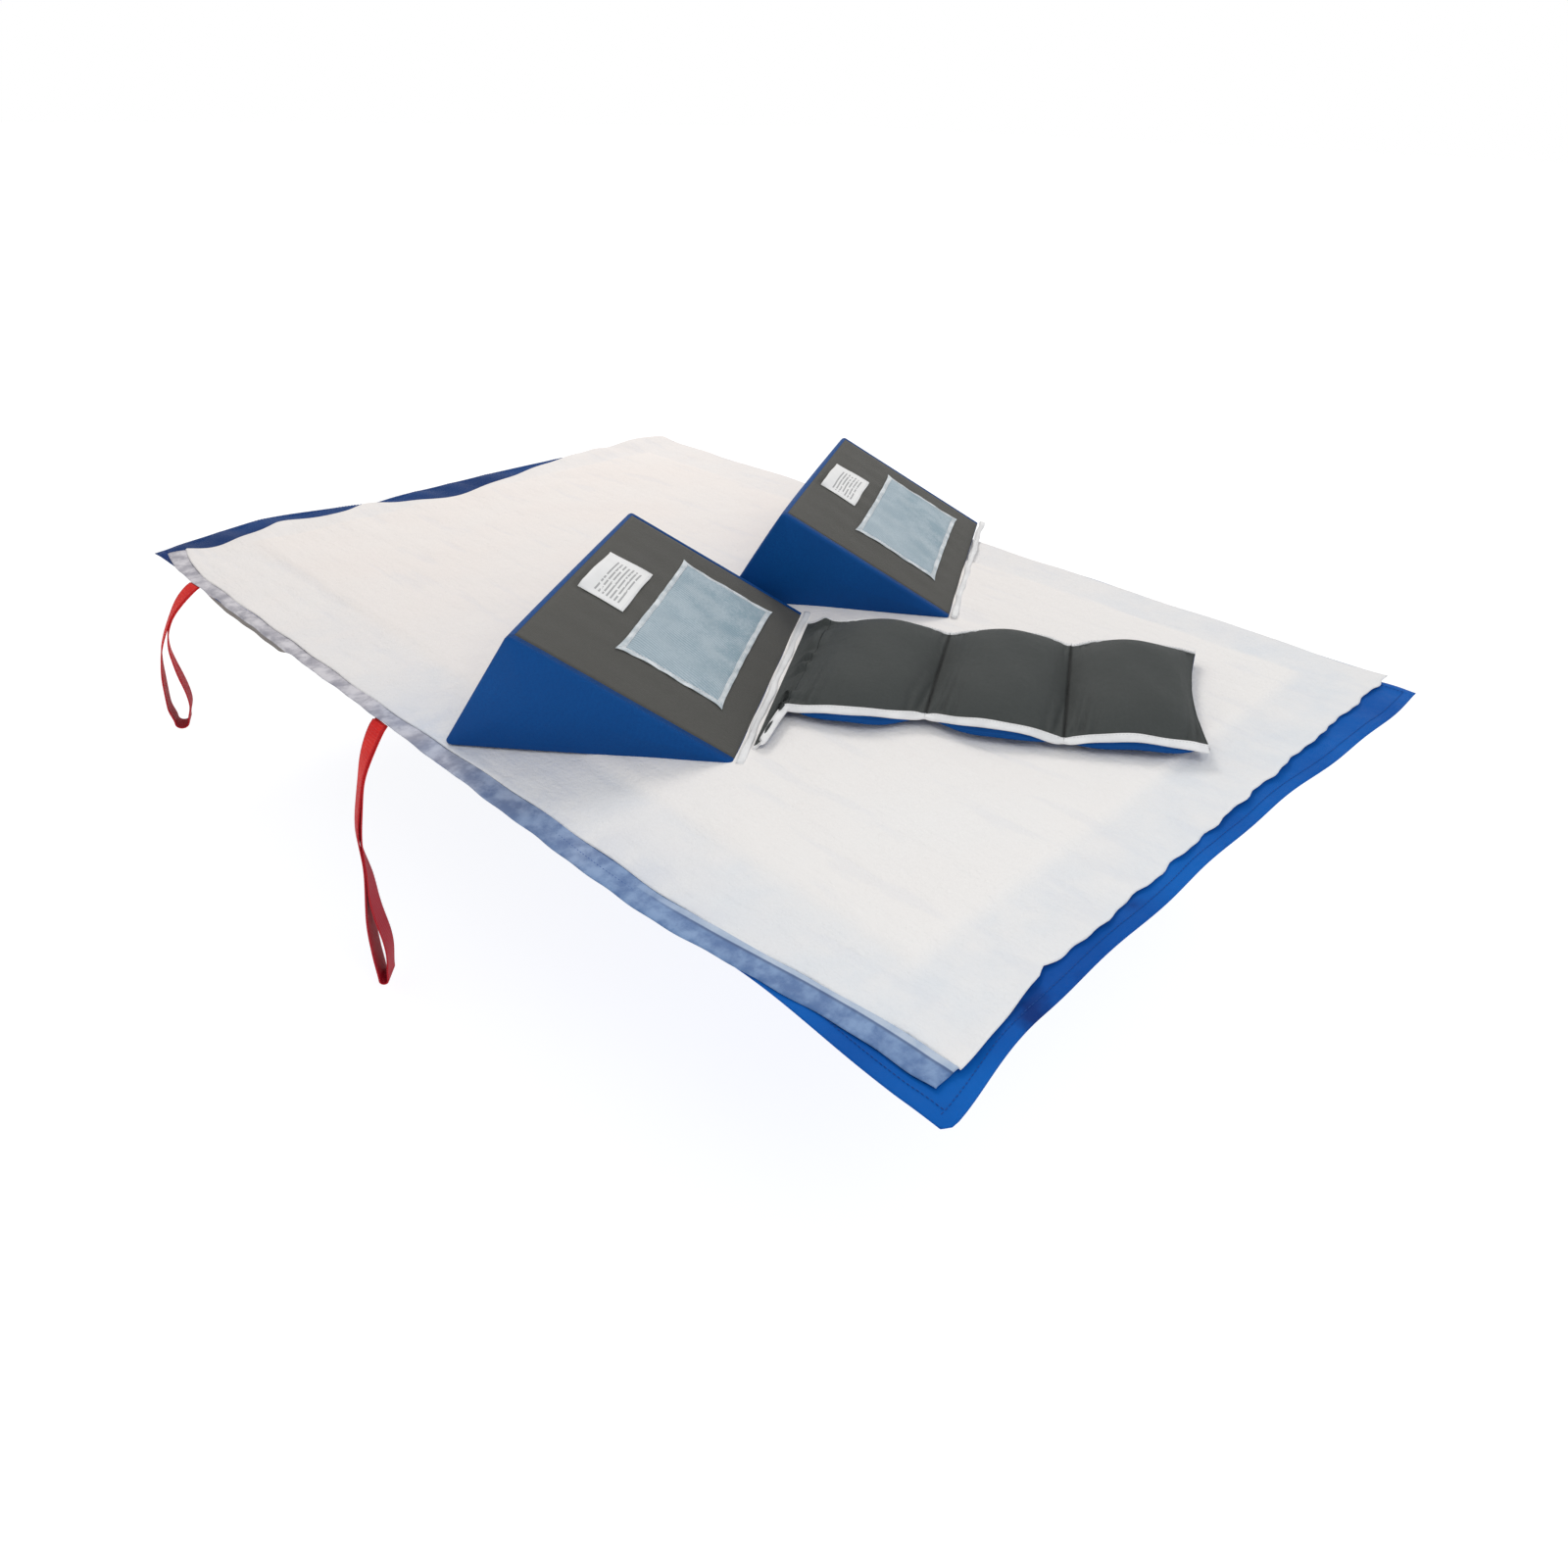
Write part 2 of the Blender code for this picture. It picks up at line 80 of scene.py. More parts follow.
camera = added("camera", bpy.data.cameras.new("camera"))
camera.matrix_world = Matrix.Translation(EYE) @ Matrix((to_right, to_top, -ahead)).transposed().to_4x4()
camera.data.sensor_width = 36.0
camera.data.lens = 26.248
camera.data.shift_x = -0.09375
camera.data.shift_y = -0.1125
camera.data.clip_start = 0.01
bpy.context.scene.camera = camera
bpy.context.scene.view_settings.view_transform = "Standard"

FLOOR_Z = CAD_BOX[0][2] - 0.012
FLOOR_HALF = 30
floor_data = bpy.data.meshes.new("studio_floor")
floor_sides = ((-1, -1), (1, -1), (1, 1), (-1, 1))
floor_corners = [(x * FLOOR_HALF, y * FLOOR_HALF, FLOOR_Z) for x, y in floor_sides]
floor_data.from_pydata(floor_corners, [], [(0, 1, 2, 3)])
floor_paint = bpy.data.materials.new("studio_floor")
floor_paint.use_nodes = True
floor_shader = floor_paint.node_tree.nodes["Principled BSDF"]
for label, value in (("Base Color", (0.30, 0.30, 0.30, 1.0)), ("Roughness", 0.9), ("Specular IOR Level", 0.0),
                     ("Emission Color", (1.0, 1.0, 1.0, 1.0)), ("Emission Strength", 0.86)):
    floor_shader.inputs[label].default_value = value
floor_data.materials.append(floor_paint)
added("studio_floor", floor_data)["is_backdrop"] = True

surround = bpy.data.worlds.new("studio_surround")
surround.use_nodes = True
sky = surround.node_tree.nodes
sky["Background"].inputs["Color"].default_value = (1.0, 1.0, 1.0, 1.0)
facing = sky.new("ShaderNodeTexCoord")
rise = sky.new("ShaderNodeSeparateXYZ")
fade = sky.new("ShaderNodeMapRange")
for label, value in (("From Min", 0.14), ("From Max", 0.34), ("To Min", 1.0), ("To Max", 0.56)):
    fade.inputs[label].default_value = value
surround.node_tree.links.new(facing.outputs["Generated"], rise.inputs[0])
surround.node_tree.links.new(rise.outputs["Z"], fade.inputs["Value"])
surround.node_tree.links.new(fade.outputs[0], sky["Background"].inputs["Strength"])
bpy.context.scene.world = surround


def lamp(name, place, aim, size, power, colour):
    """A square soft lamp that points at a spot."""
    data = bpy.data.lights.new(name, "AREA")
    data.size = size
    data.energy = power
    data.color = colour
    made = added(name, data)
    made.location = place
    made.rotation_euler = (Vector(aim) - Vector(place)).to_track_quat("-Z", "Y").to_euler()


lamp("warm_lamp", (-1.6, 1.1, 2.1), (0.0, 0.0, 0.0), 1.0, 27.0, (1.0, 0.95, 0.90))
lamp("cool_lamp", (1.9, -0.6, 1.9), (0.3, -0.1, 0.0), 1.2, 16.0, (0.93, 0.97, 1.0))


# The glide sheet: thin, slippery, coated nylon cut 1.42 m by 0.81 m, with a narrow stitched hem on all
# four sides. It lies flat on the bed, and its free edges ripple where the pad no longer holds them down.
SHEET_WIDTH = 0.814
SHEET_TOP = 0.0015
SHEET_THICK = 0.0012
HEM = 0.012


class Wire:
    """One socket of a node tree; sums written on it add Math nodes."""

    def __init__(self, tree, socket=None):
        self.tree = tree
        self.socket = socket

    def node(self, kind, settings=None, sockets=None, out=0):
        """Any node: its settings first, then the values or wires of its sockets."""
        made = self.tree.nodes.new(kind)
        for key, value in (settings or {}).items():
            setattr(made, key, value)
        for key, value in (sockets or {}).items():
            if isinstance(value, Wire):
                self.tree.links.new(value.socket, made.inputs[key])
            else:
                made.inputs[key].default_value = value
        return Wire(self.tree, made.outputs[out])

    def sum(self, operation, other=0.0):
        return self.node("ShaderNodeMath", {"operation": operation}, {0: self, 1: other})

    def __add__(self, other):
        return self.sum("ADD", other)

    def __sub__(self, other):
        return self.sum("SUBTRACT", other)

    def __mul__(self, other):
        return self.sum("MULTIPLY", other)

    def sine(self):
        return self.sum("SINE")

    def step(self, start, end):
        """0 before start, 1 after end, eased between."""
        settings = {"interpolation_type": "SMOOTHSTEP"}
        return self.node("ShaderNodeMapRange", settings, {"Value": self, "From Min": start, "From Max": end})

    def place(self):
        """The place in the set, in metres."""
        return self.node("ShaderNodeTexCoord", out="Object")

    def along(self, axis):
        """The distance along one axis of the set."""
        return self.node("ShaderNodeSeparateXYZ", None, {0: self.place()}, axis)

    def on_cloth(self, axis):
        """The distance along one side of the flat cloth, X or Y, in metres."""
        lie = self.node("ShaderNodeUVMap", {"uv_map": "cloth"})
        return self.node("ShaderNodeSeparateXYZ", None, {0: lie}, axis)

    def noise(self, scale, detail=3.0, rough=0.5):
        """Even noise in space, from 0 to 1."""
        return self.node("ShaderNodeTexNoise", None,
                         {"Vector": self.place(), "Scale": scale, "Detail": detail, "Roughness": rough})

    def mix(self, first, second):
        """Between two colours, by this wire."""
        ends = [value if isinstance(value, Wire) else (*value, 1.0) for value in (first, second)]
        return self.node("ShaderNodeMix", {"data_type": "RGBA"}, {0: self, 6: ends[0], 7: ends[1]}, 2)

    def thread(self, axis, pitch):
        """One set of threads of a weave, from 0 to 1, at a pitch in metres on the cloth's own map."""
        return (self.on_cloth(axis) * (2 * math.pi / pitch)).sine() * 0.5 + 0.5

    def weave(self, pitch):
        """Threads both ways, 1 where two cross on top."""
        return self.thread("X", pitch) * self.thread("Y", pitch)


def finish(name, constants):
    """A finish, its shader, and a wire to start from; values that are the same all over sit on the shader."""
    made = bpy.data.materials.new(name)
    made.use_nodes = True
    shader = made.node_tree.nodes["Principled BSDF"]
    for socket, value in constants.items():
        shader.inputs[socket].default_value = value
    return made, shader, Wire(made.node_tree)


def paint(shader, colour, roughness, height, depth):
    """Joins a finish's colour, roughness and relief, whose depth is in metres, to its shader."""
    start = Wire(shader.id_data)
    shader.id_data.links.new(colour.socket, shader.inputs["Base Color"])
    if isinstance(roughness, Wire):
        shader.id_data.links.new(roughness.socket, shader.inputs["Roughness"])
    else:
        shader.inputs["Roughness"].default_value = roughness
    bump = start.node("ShaderNodeBump", None, {"Strength": 1.0, "Distance": depth, "Height": height})
    shader.id_data.links.new(bump.socket, shader.inputs["Normal"])


GLIDE_BLUE, shader, start = finish("glide_blue", {"Specular IOR Level": 0.10})
crumple = start.noise(9.0, 4.0, 0.55)
weave = start.weave(0.0007)
shade = start.noise(5.0, 2.0).step(0.35, 0.7)
# Painted light and shade: the sheet is painted a darker navy at its far, head end and a brighter blue towards
# the lit foot end.
shaded_navy = shade.mix((0.002, 0.034, 0.155), (0.003, 0.056, 0.235))
lit_blue = shade.mix((0.002, 0.085, 0.40), (0.003, 0.135, 0.54))
colour = (start.along("X") + crumple * 0.2).step(-0.35, 0.55).mix(shaded_navy, lit_blue)
# Painted shade: the lowest hollows of the crumples, made by the same noise that raises the relief, are
# painted a darker navy.
colour = crumple.step(0.30, 0.42).mix((0.003, 0.036, 0.21), colour)
paint(shader, colour, crumple * 0.2 + 0.42, crumple + weave * 0.02, 0.010)


def ease(value):
    """Eases an array from 0 to 1."""
    value = np.clip(value, 0.0, 1.0)
    return value * value * (3 - 2 * value)


def hump(value, centre, spread):
    """A soft hump of height 1."""
    return np.exp(-(((value - centre) / spread) ** 2))


def net(name, points, lie, keep=None, flip=False):
    """A smooth surface through a net of points, with each point's place on the flat cloth, in metres."""
    rows, columns = points.shape[:2]
    index = np.arange(rows * columns).reshape(rows, columns)
    corners = np.stack([index[:-1, :-1], index[1:, :-1], index[1:, 1:], index[:-1, 1:]], axis=-1)
    faces = corners.reshape(-1, 4) if keep is None else corners[keep]
    if flip:
        faces = faces[:, ::-1]
    used = np.unique(faces)
    places = np.full(rows * columns, -1)
    places[used] = np.arange(len(used))
    data = bpy.data.meshes.new(name)
    data.from_pydata(points.reshape(-1, 3)[used].tolist(), [], places[faces].tolist())
    cloth = data.uv_layers.new(name="cloth")
    corner_points = np.empty(len(data.loops), dtype=np.int32)
    data.loops.foreach_get("vertex_index", corner_points)
    cloth.data.foreach_set("uv", lie.reshape(-1, 2)[used][corner_points].ravel())
    mesh = bmesh.new()
    mesh.from_mesh(data)
    bmesh.ops.remove_doubles(mesh, verts=mesh.verts, dist=2e-6)
    for face in mesh.faces:
        face.smooth = True
    mesh.to_mesh(data)
    mesh.free()
    return added(name, data)


def worked_out(made):
    """An object's mesh with its modifiers worked out."""
    bpy.context.view_layer.update()
    return bpy.data.meshes.new_from_object(made.evaluated_get(bpy.context.evaluated_depsgraph_get()))


def thicken(made, thickness, material, offset=-1.0):
    """Gives a surface its cloth's thickness, inwards or (0.0) both ways, as one closed mesh."""
    made.data.materials.append(material)
    wall = made.modifiers.new("cloth", "SOLIDIFY")
    wall.thickness = thickness
    wall.offset = offset
    whole = worked_out(made)
    made.modifiers.clear()
    made.data = whole
    return made


def grid(*parts):
    """Points from one coordinate each; any of them may be a plain number or a single row or column."""
    return np.stack(np.broadcast_arrays(*parts), axis=-1)


def run_along(line):
    """How far each point of a line is along it."""
    return np.concatenate(([0.0], np.cumsum(np.linalg.norm(np.diff(line, axis=0), axis=1))))


def shares(count, edge):
    """Shares from 0 to 1, with a fine step at each end for the rolled edge."""
    inner = np.linspace(edge, 1 - edge, count)
    return np.concatenate(([0.0, edge * 0.3], inner, [1 - edge * 0.3, 1.0]))


def laid_net(x_shares, y_shares, near, far, left, right, height):
    """Points of a cloth laid between four curved edges, and their places on the flat cloth."""
    a, b = np.meshgrid(x_shares, y_shares, indexing="ij")
    x = left(0.0) * (1 - a) + right(0.0) * a
    y = near(x) * (1 - b) + far(x) * b
    for _ in range(3):
        x = left(y) * (1 - a) + right(y) * a
        y = near(x) * (1 - b) + far(x) * b
    return grid(x, y, height(x, y)), grid(x, y)


def sheet_near(x):
    return -0.4065 + 0.009 * hump(x, 0.54, 0.12) - 0.0015 * np.sin(x * 23.0)


def sheet_far(x):
    return 0.402 + 0.002 * np.sin(x * 17.0)


def sheet_left(y):
    bulge = 0.031 * hump(y, -0.25, 0.085) + 0.009 * hump(y, 0.14, 0.14)
    return -0.708 - bulge + 0.010 * hump(y, -0.11, 0.028) + 0.012 * hump(y, -0.406, 0.03)


def sheet_right(y):
    corner = 0.008 * ease((-0.392 - y) / 0.016) ** 2
    hollow = 0.016 * ease((y + 0.40) / 0.12) * (1 - ease((y - 0.02) / 0.33))
    return 0.712 - corner - hollow + 0.0012 * np.sin(y * 41.0)


def sheet_ripple(x, y):
    """How far the sheet's free ends lift off the bed; the pad on top of it lifts as much."""
    ends = np.minimum(x - sheet_left(y), sheet_right(y) - x)
    free = 0.0045 * ease((-x - 0.64) / 0.05) + 0.0016 * ease((x - 0.665) / 0.02)
    return free * (0.5 + 0.5 * np.sin(y * 74.0 + 2.1 * np.sin(y * 19.0))) * ease(ends / 0.02)


def sheet_height(x, y):
    ends = np.minimum(x - sheet_left(y), sheet_right(y) - x)
    sides = np.minimum(y - sheet_near(x), sheet_far(x) - y)
    edge = np.minimum(ends, sides)
    hem = ease((HEM + 0.001 - edge) / 0.002)
    roll = ease((0.004 - edge) / 0.004)
    return SHEET_TOP + sheet_ripple(x, y) + 0.0006 * hem - 0.0016 * roll


points, lie = laid_net(shares(250, 0.006), shares(120, 0.008), sheet_near, sheet_far,
                       sheet_left, sheet_right, sheet_height)
glide_sheet = thicken(net("glide_sheet_cloth", points, lie), SHEET_THICK, GLIDE_BLUE)
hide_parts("glide_sheet")
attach(glide_sheet, "sheet")


# The absorbent pad: a backing film, a fluff core, and a soft non-woven top sheet glued over them. The film
# is wider than the top sheet, so it shows as a mottled, see-through margin with a fold along the near edge.
FILM_TOP = 0.0024
TOP_LOW = 0.0033
CORE_LIFT = 0.0033
FILM_EDGE = -0.4095
FILM_IN = 0.0235
FILM_IN_FROM = 0.36
FILM_IN_TO = 0.66
FOLD_IN = 0.0172
FOLD_STEP = 0.0012
FOLD_OUT = 0.0300
FOLD_FROM = 0.35
FOLD_TO = 0.47
CORE_LEFT = -0.632
CORE_RIGHT = 0.602
CORE_NEAR = -0.312
CORE_FAR = 0.351
FILM_THICK = 0.0005
TOP_THICK = 0.0006


def pad_left(y):
    waves = 0.030 * hump(y, -0.234, 0.030) + 0.022 * hump(y, -0.124, 0.028) - 0.012 * hump(y, -0.34, 0.04)
    return -0.666 - waves + 0.034 * hump(y, 0.0, 0.075) - 0.043 * ease((y - 0.08) / 0.28)


def pad_right(y):
    scallop = 0.0017 * np.sin(y * 92.0 + 2.3 * np.sin(y * 14.0)) + 0.0008 * np.sin(y * 217.0)
    scallop = scallop * ease((y + 0.26) / 0.02)
    corner = 0.014 * (1 - ease((y + 0.364) / 0.116))
    return 0.675 + scallop + corner - 0.005 * hump(y, -0.246, 0.007)


def top_near(x):
    start = -0.395 + 0.010 * ease((x + 0.10) / 0.40) + 0.0225 * ease((x - 0.38) / 0.30)
    return start + 0.019 * hump(x, -0.69, 0.07) + 0.0007 * np.sin(x * 61.0)


def film_near(x):
    start = FILM_EDGE + FILM_IN * ease((x - FILM_IN_FROM) / (FILM_IN_TO - FILM_IN_FROM))
    return start + 0.013 * hump(x, -0.69, 0.05) + 0.0008 * np.sin(x * 83.0) * np.sin(x * 31.0)


def pad_far(x):
    return 0.411 + 0.014 * ease((0.55 - x) / 0.9) + 0.0015 * np.sin(x * 29.0)


def pad_lift(x, y):
    """The pad's own ripples: low waves along its free ends and its far side."""
    left = np.clip(x - pad_left(y), 0.0, None)
    right = np.clip(pad_right(y) - x, 0.0, None)
    wave_left = 0.5 - 0.5 * np.cos((y + 0.234) * 57.0)
    wave_right = 0.5 + 0.5 * np.sin(y * 92.0 + 1.3 * np.sin(y * 14.0))
    ends = 0.0040 * wave_left * hump(left, 0.0, 0.05) + 0.0018 * wave_right * hump(right, 0.0, 0.022)
    return ends + sheet_ripple(x, y) + 0.0008 * (1 + np.sin(x * 9.0 + 2 * np.sin(y * 11.0)))


def film_height(x, y):
    margin = y - film_near(x)
    fold = 0.0011 * ease((margin - FOLD_IN) / FOLD_STEP) * ease((FOLD_OUT - margin) / 0.004)
    fold = fold * ease((x - FOLD_FROM) / (FOLD_TO - FOLD_FROM))
    return FILM_TOP + pad_lift(x, y) + fold - 0.0008 * ease((0.002 - margin) / 0.002)


def core_share(x, y):
    """1 over the core, 0 in the margins."""
    ends = np.minimum(x - CORE_LEFT, CORE_RIGHT - x)
    sides = np.minimum(y - CORE_NEAR, CORE_FAR - y)
    return ease(np.minimum(ends, sides) / 0.012)


def top_height(x, y):
    edge = np.minimum(y - top_near(x), pad_right(y) - x)
    quilt = 0.00035 * (np.sin(x * 55.0 + 3 * np.sin(y * 21.0)) + np.sin(y * 63.0 + 2 * np.sin(x * 17.0)))
    crease = 0.0007 * hump(x, 0.645 + 0.008 * np.sin(y * 8.0), 0.0018)
    return TOP_LOW + pad_lift(x, y) + CORE_LIFT * core_share(x, y) + quilt + crease + 0.0007 \
        - 0.0009 * ease((0.002 - edge) / 0.002)


PAD_FILM, shader, start = finish("pad_film", {"Specular IOR Level": 0.35})
across = start.along("Y")
along = start.along("X")
mottle = start.noise(48.0, 5.0, 0.62)
blotch = start.noise(15.0, 3.0)
over_blue = (along + blotch * 0.30).step(-0.05, 0.55)
pale = mottle.step(0.34, 0.66).mix((0.36, 0.35, 0.40), (0.68, 0.66, 0.70))
blued = mottle.step(0.34, 0.66).mix((0.085, 0.170, 0.370), (0.215, 0.335, 0.560))
colour = over_blue.mix(pale, blued)
margin = across - along.step(FILM_IN_FROM, FILM_IN_TO) * FILM_IN - FILM_EDGE
folded = along.step(FOLD_FROM, FOLD_TO)
layer = margin.step(FOLD_IN, FOLD_IN + FOLD_STEP) * folded
colour = layer.mix(colour, mottle.step(0.30, 0.70).mix((0.36, 0.46, 0.62), (0.50, 0.58, 0.70)))
# Painted shade: a thin dark line just inside the fold, where the folded layer's edge throws its shadow on the
# film.
crease = margin.step(FOLD_IN - 0.0022, FOLD_IN - 0.0002) * margin.step(FOLD_IN + 0.0010, FOLD_IN)
colour = (crease * folded * 0.7).mix(colour, (0.05, 0.09, 0.20))
# Painted shade: where the film's near edge hangs below the pad, low in Z, it is painted a dark grey-brown for
# the shade on its hanging part.
colour = start.along("Z").step(0.0006, -0.0008).mix(colour, (0.17, 0.155, 0.145))
paint(shader, colour, 0.55, mottle, 0.0012)

PAD_WHITE, shader, start = finish("pad_top_sheet", {"Specular IOR Level": 0.15, "Sheen Weight": 0.1})
along = start.along("X")
across = start.along("Y")
soft = start.noise(7.0, 3.0)
fibre = start.noise(240.0, 3.0, 0.6)
crinkle = start.noise(26.0, 5.0, 0.62)
sockets = {0: start.place(), 1: (3.2, 17.0, 1.0)}
stretched = start.node("ShaderNodeVectorMath", {"operation": "MULTIPLY"}, sockets)
long_creases = start.node("ShaderNodeTexNoise", None, {"Vector": stretched, "Scale": 2.2, "Detail": 4.0})
in_core = along.step(-0.640, -0.620) * along.step(0.610, 0.590) * across.step(-0.320, -0.300)
in_core = in_core * across.step(0.359, 0.340)
# Painted light: the top sheet is painted warmer towards the head end and cooler towards the foot, in the
# tints of the warm and the cool lamp.
warm_to_cool_light = (along - across * 0.3).step(-0.45, 0.60)
core = warm_to_cool_light.mix((0.90, 0.845, 0.815), (0.90, 0.885, 0.875))
margin = warm_to_cool_light.mix((0.85, 0.825, 0.82), (0.775, 0.805, 0.845))
margin = (crinkle.step(0.25, 0.75) * 0.55).mix(margin, core)
# Painted shade and reflection: along the near margin below the front wedge, the top sheet is painted a
# mottled blue-grey for the shade there and the blue light thrown back onto it.
blue_shade_near_edge = across.step(-0.315, -0.385) * along.step(-0.14, 0.05) * along.step(0.60, 0.30)
margin = (blue_shade_near_edge * crinkle.step(0.30, 0.62) * 0.75).mix(margin, (0.60, 0.66, 0.77))
colour = in_core.mix(margin, core)
colour = (soft.step(0.3, 0.7) * 0.5).mix(colour, (0.90, 0.87, 0.85))
# Painted shade: the hollows of the long creases, which the same noise presses into the relief, are painted a
# cool grey-blue.
colour = (long_creases.step(0.44, 0.34) * 0.11).mix(colour, (0.62, 0.66, 0.76))
paint(shader, colour, 0.9, crinkle * 0.7 + long_creases * 0.9 + fibre * 0.2, 0.0040)

points, lie = laid_net(shares(240, 0.006), shares(130, 0.008), film_near, lambda x: pad_far(x) + 0.003,
                       lambda y: pad_left(y) + 0.003, lambda y: pad_right(y) - 0.002, film_height)
hang = ease((points[..., 0] + 0.515) / 0.05) * (1 - ease((points[..., 0] + 0.29) / 0.04))
EDGE_DROP = 0.0070
points[:, 0, 2] -= hang[:, 0] * EDGE_DROP
pad_film = thicken(net("pad_backing_film", points, lie), FILM_THICK, PAD_FILM)
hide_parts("pad_film")
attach(pad_film, "pad")

points, lie = laid_net(shares(240, 0.006), shares(130, 0.008), top_near, pad_far, pad_left, pad_right,
                       top_height)
pad_top = thicken(net("pad_soft_top", points, lie), TOP_THICK, PAD_WHITE)
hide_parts("pad_top_sheet")
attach(pad_top, "pad")

FLUFF, shader, start = finish("absorbent_core", {"Specular IOR Level": 0.05})
fibre = start.noise(300.0, 4.0, 0.65)
paint(shader, fibre.step(0.3, 0.7).mix((0.74, 0.70, 0.66), (0.88, 0.86, 0.82)), 0.97, fibre, 0.002)
core_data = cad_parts["pad_core"].data
core_data.materials.clear()
core_data.materials.append(FLUFF)


# The two foam wedges: a firm foam block in a sewn cover of coated canvas, grey on the slope that the
# patient lies against and blue elsewhere. The slope panel stops just short of the ridge, where the blue
# folds over, and the panels swell a little between their seams.
WEDGE_LENGTH = 0.355
WEDGE_BASE = 0.288
WEDGE_HEIGHT = 0.122
SLOPE_ANGLE = math.radians(30.2)
RIDGE_IN = WEDGE_BASE - WEDGE_HEIGHT / math.tan(SLOPE_ANGLE)
SLOPE_RUN = WEDGE_HEIGHT / math.sin(SLOPE_ANGLE)
BACK_RUN = math.hypot(RIDGE_IN, WEDGE_HEIGHT)
WEDGE_FOOT = 0.0069
FRONT_TURN = math.radians(36.4)
FRONT_PLACE = Matrix.Translation((0.0616, -0.3937, WEDGE_FOOT)) @ Matrix.Rotation(FRONT_TURN, 4, "Z")
REAR_START = FRONT_PLACE @ Vector((0.1799, WEDGE_LENGTH + 0.0263, 0.0))
REAR_PLACE = Matrix.Translation(REAR_START) @ Matrix.Rotation(math.radians(33.2), 4, "Z")
SLOPE_PLACE = Matrix.Translation((RIDGE_IN, 0.0, WEDGE_HEIGHT)) @ Matrix.Rotation(SLOPE_ANGLE, 4, "Y")
SLOPE_SWELL = 0.0030
BACK_SWELL = 0.0035
END_SWELL = 0.0038
RIDGE_ROUND = 0.0055
END_ROUND = 0.0035
COVER_THICK = 0.0012


def placed(points, place):
    """Points of a piece moved from its own frame to the set's."""
    turn = np.array(place.to_3x3())
    return points @ turn.T + np.array(place.translation)


def swell(a, b, square=3):
    """How far stuffing lifts cloth that is sewn down on four sides, as a share of the most."""
    a = np.clip(a, 0.0, 1.0)
    b = np.clip(b, 0.0, 1.0)
    return (1 - np.abs(2 * a - 1) ** square) * (1 - np.abs(2 * b - 1) ** square)


def slope_swell(down, along):
    """The slope panel's height over its flat, at a distance down from the ridge and along it."""
    wrinkle = 0.0011 * np.sin(down * 60 + along * 95) * np.sin(down * 38 - along * 51)
    return (SLOPE_SWELL + wrinkle) * swell(down / SLOPE_RUN, along / WEDGE_LENGTH)


def wedge_section():
    """The cover's section with rounded corners: its points, panel number and share along it."""
    corners = [Vector((0.0, 0.0)), Vector((WEDGE_BASE, 0.0)), Vector((RIDGE_IN, WEDGE_HEIGHT))]
    rounds = (0.004, 0.0012, RIDGE_ROUND)
    counts = (44, 44, 26)
    ways = [(corners[(side + 1) % 3] - corners[side]).normalized() for side in range(3)]
    turns = [ways[side - 1].angle(ways[side]) for side in range(3)]
    trims = [rounds[side] / math.tan((math.pi - turns[side]) / 2) for side in range(3)]
    found = []
    for side, corner in enumerate(corners):
        way = ways[side]
        centre = corner + way * trims[side] + Vector((-way.y, way.x)) * rounds[side]
        first = math.atan2(-ways[side - 1].x, ways[side - 1].y)
        for step in range(6):
            angle = first + turns[side] * step / 6
            point = centre + Vector((math.cos(angle), math.sin(angle))) * rounds[side]
            found.append((*point, side, 0.0))
        length = (corners[(side + 1) % 3] - corner).length
        for share in np.linspace(trims[side] / length, 1 - trims[(side + 1) % 3] / length, counts[side]):
            found.append((*(corner + way * length * share), side, share))
    found.append(found[0])
    return np.array(found)


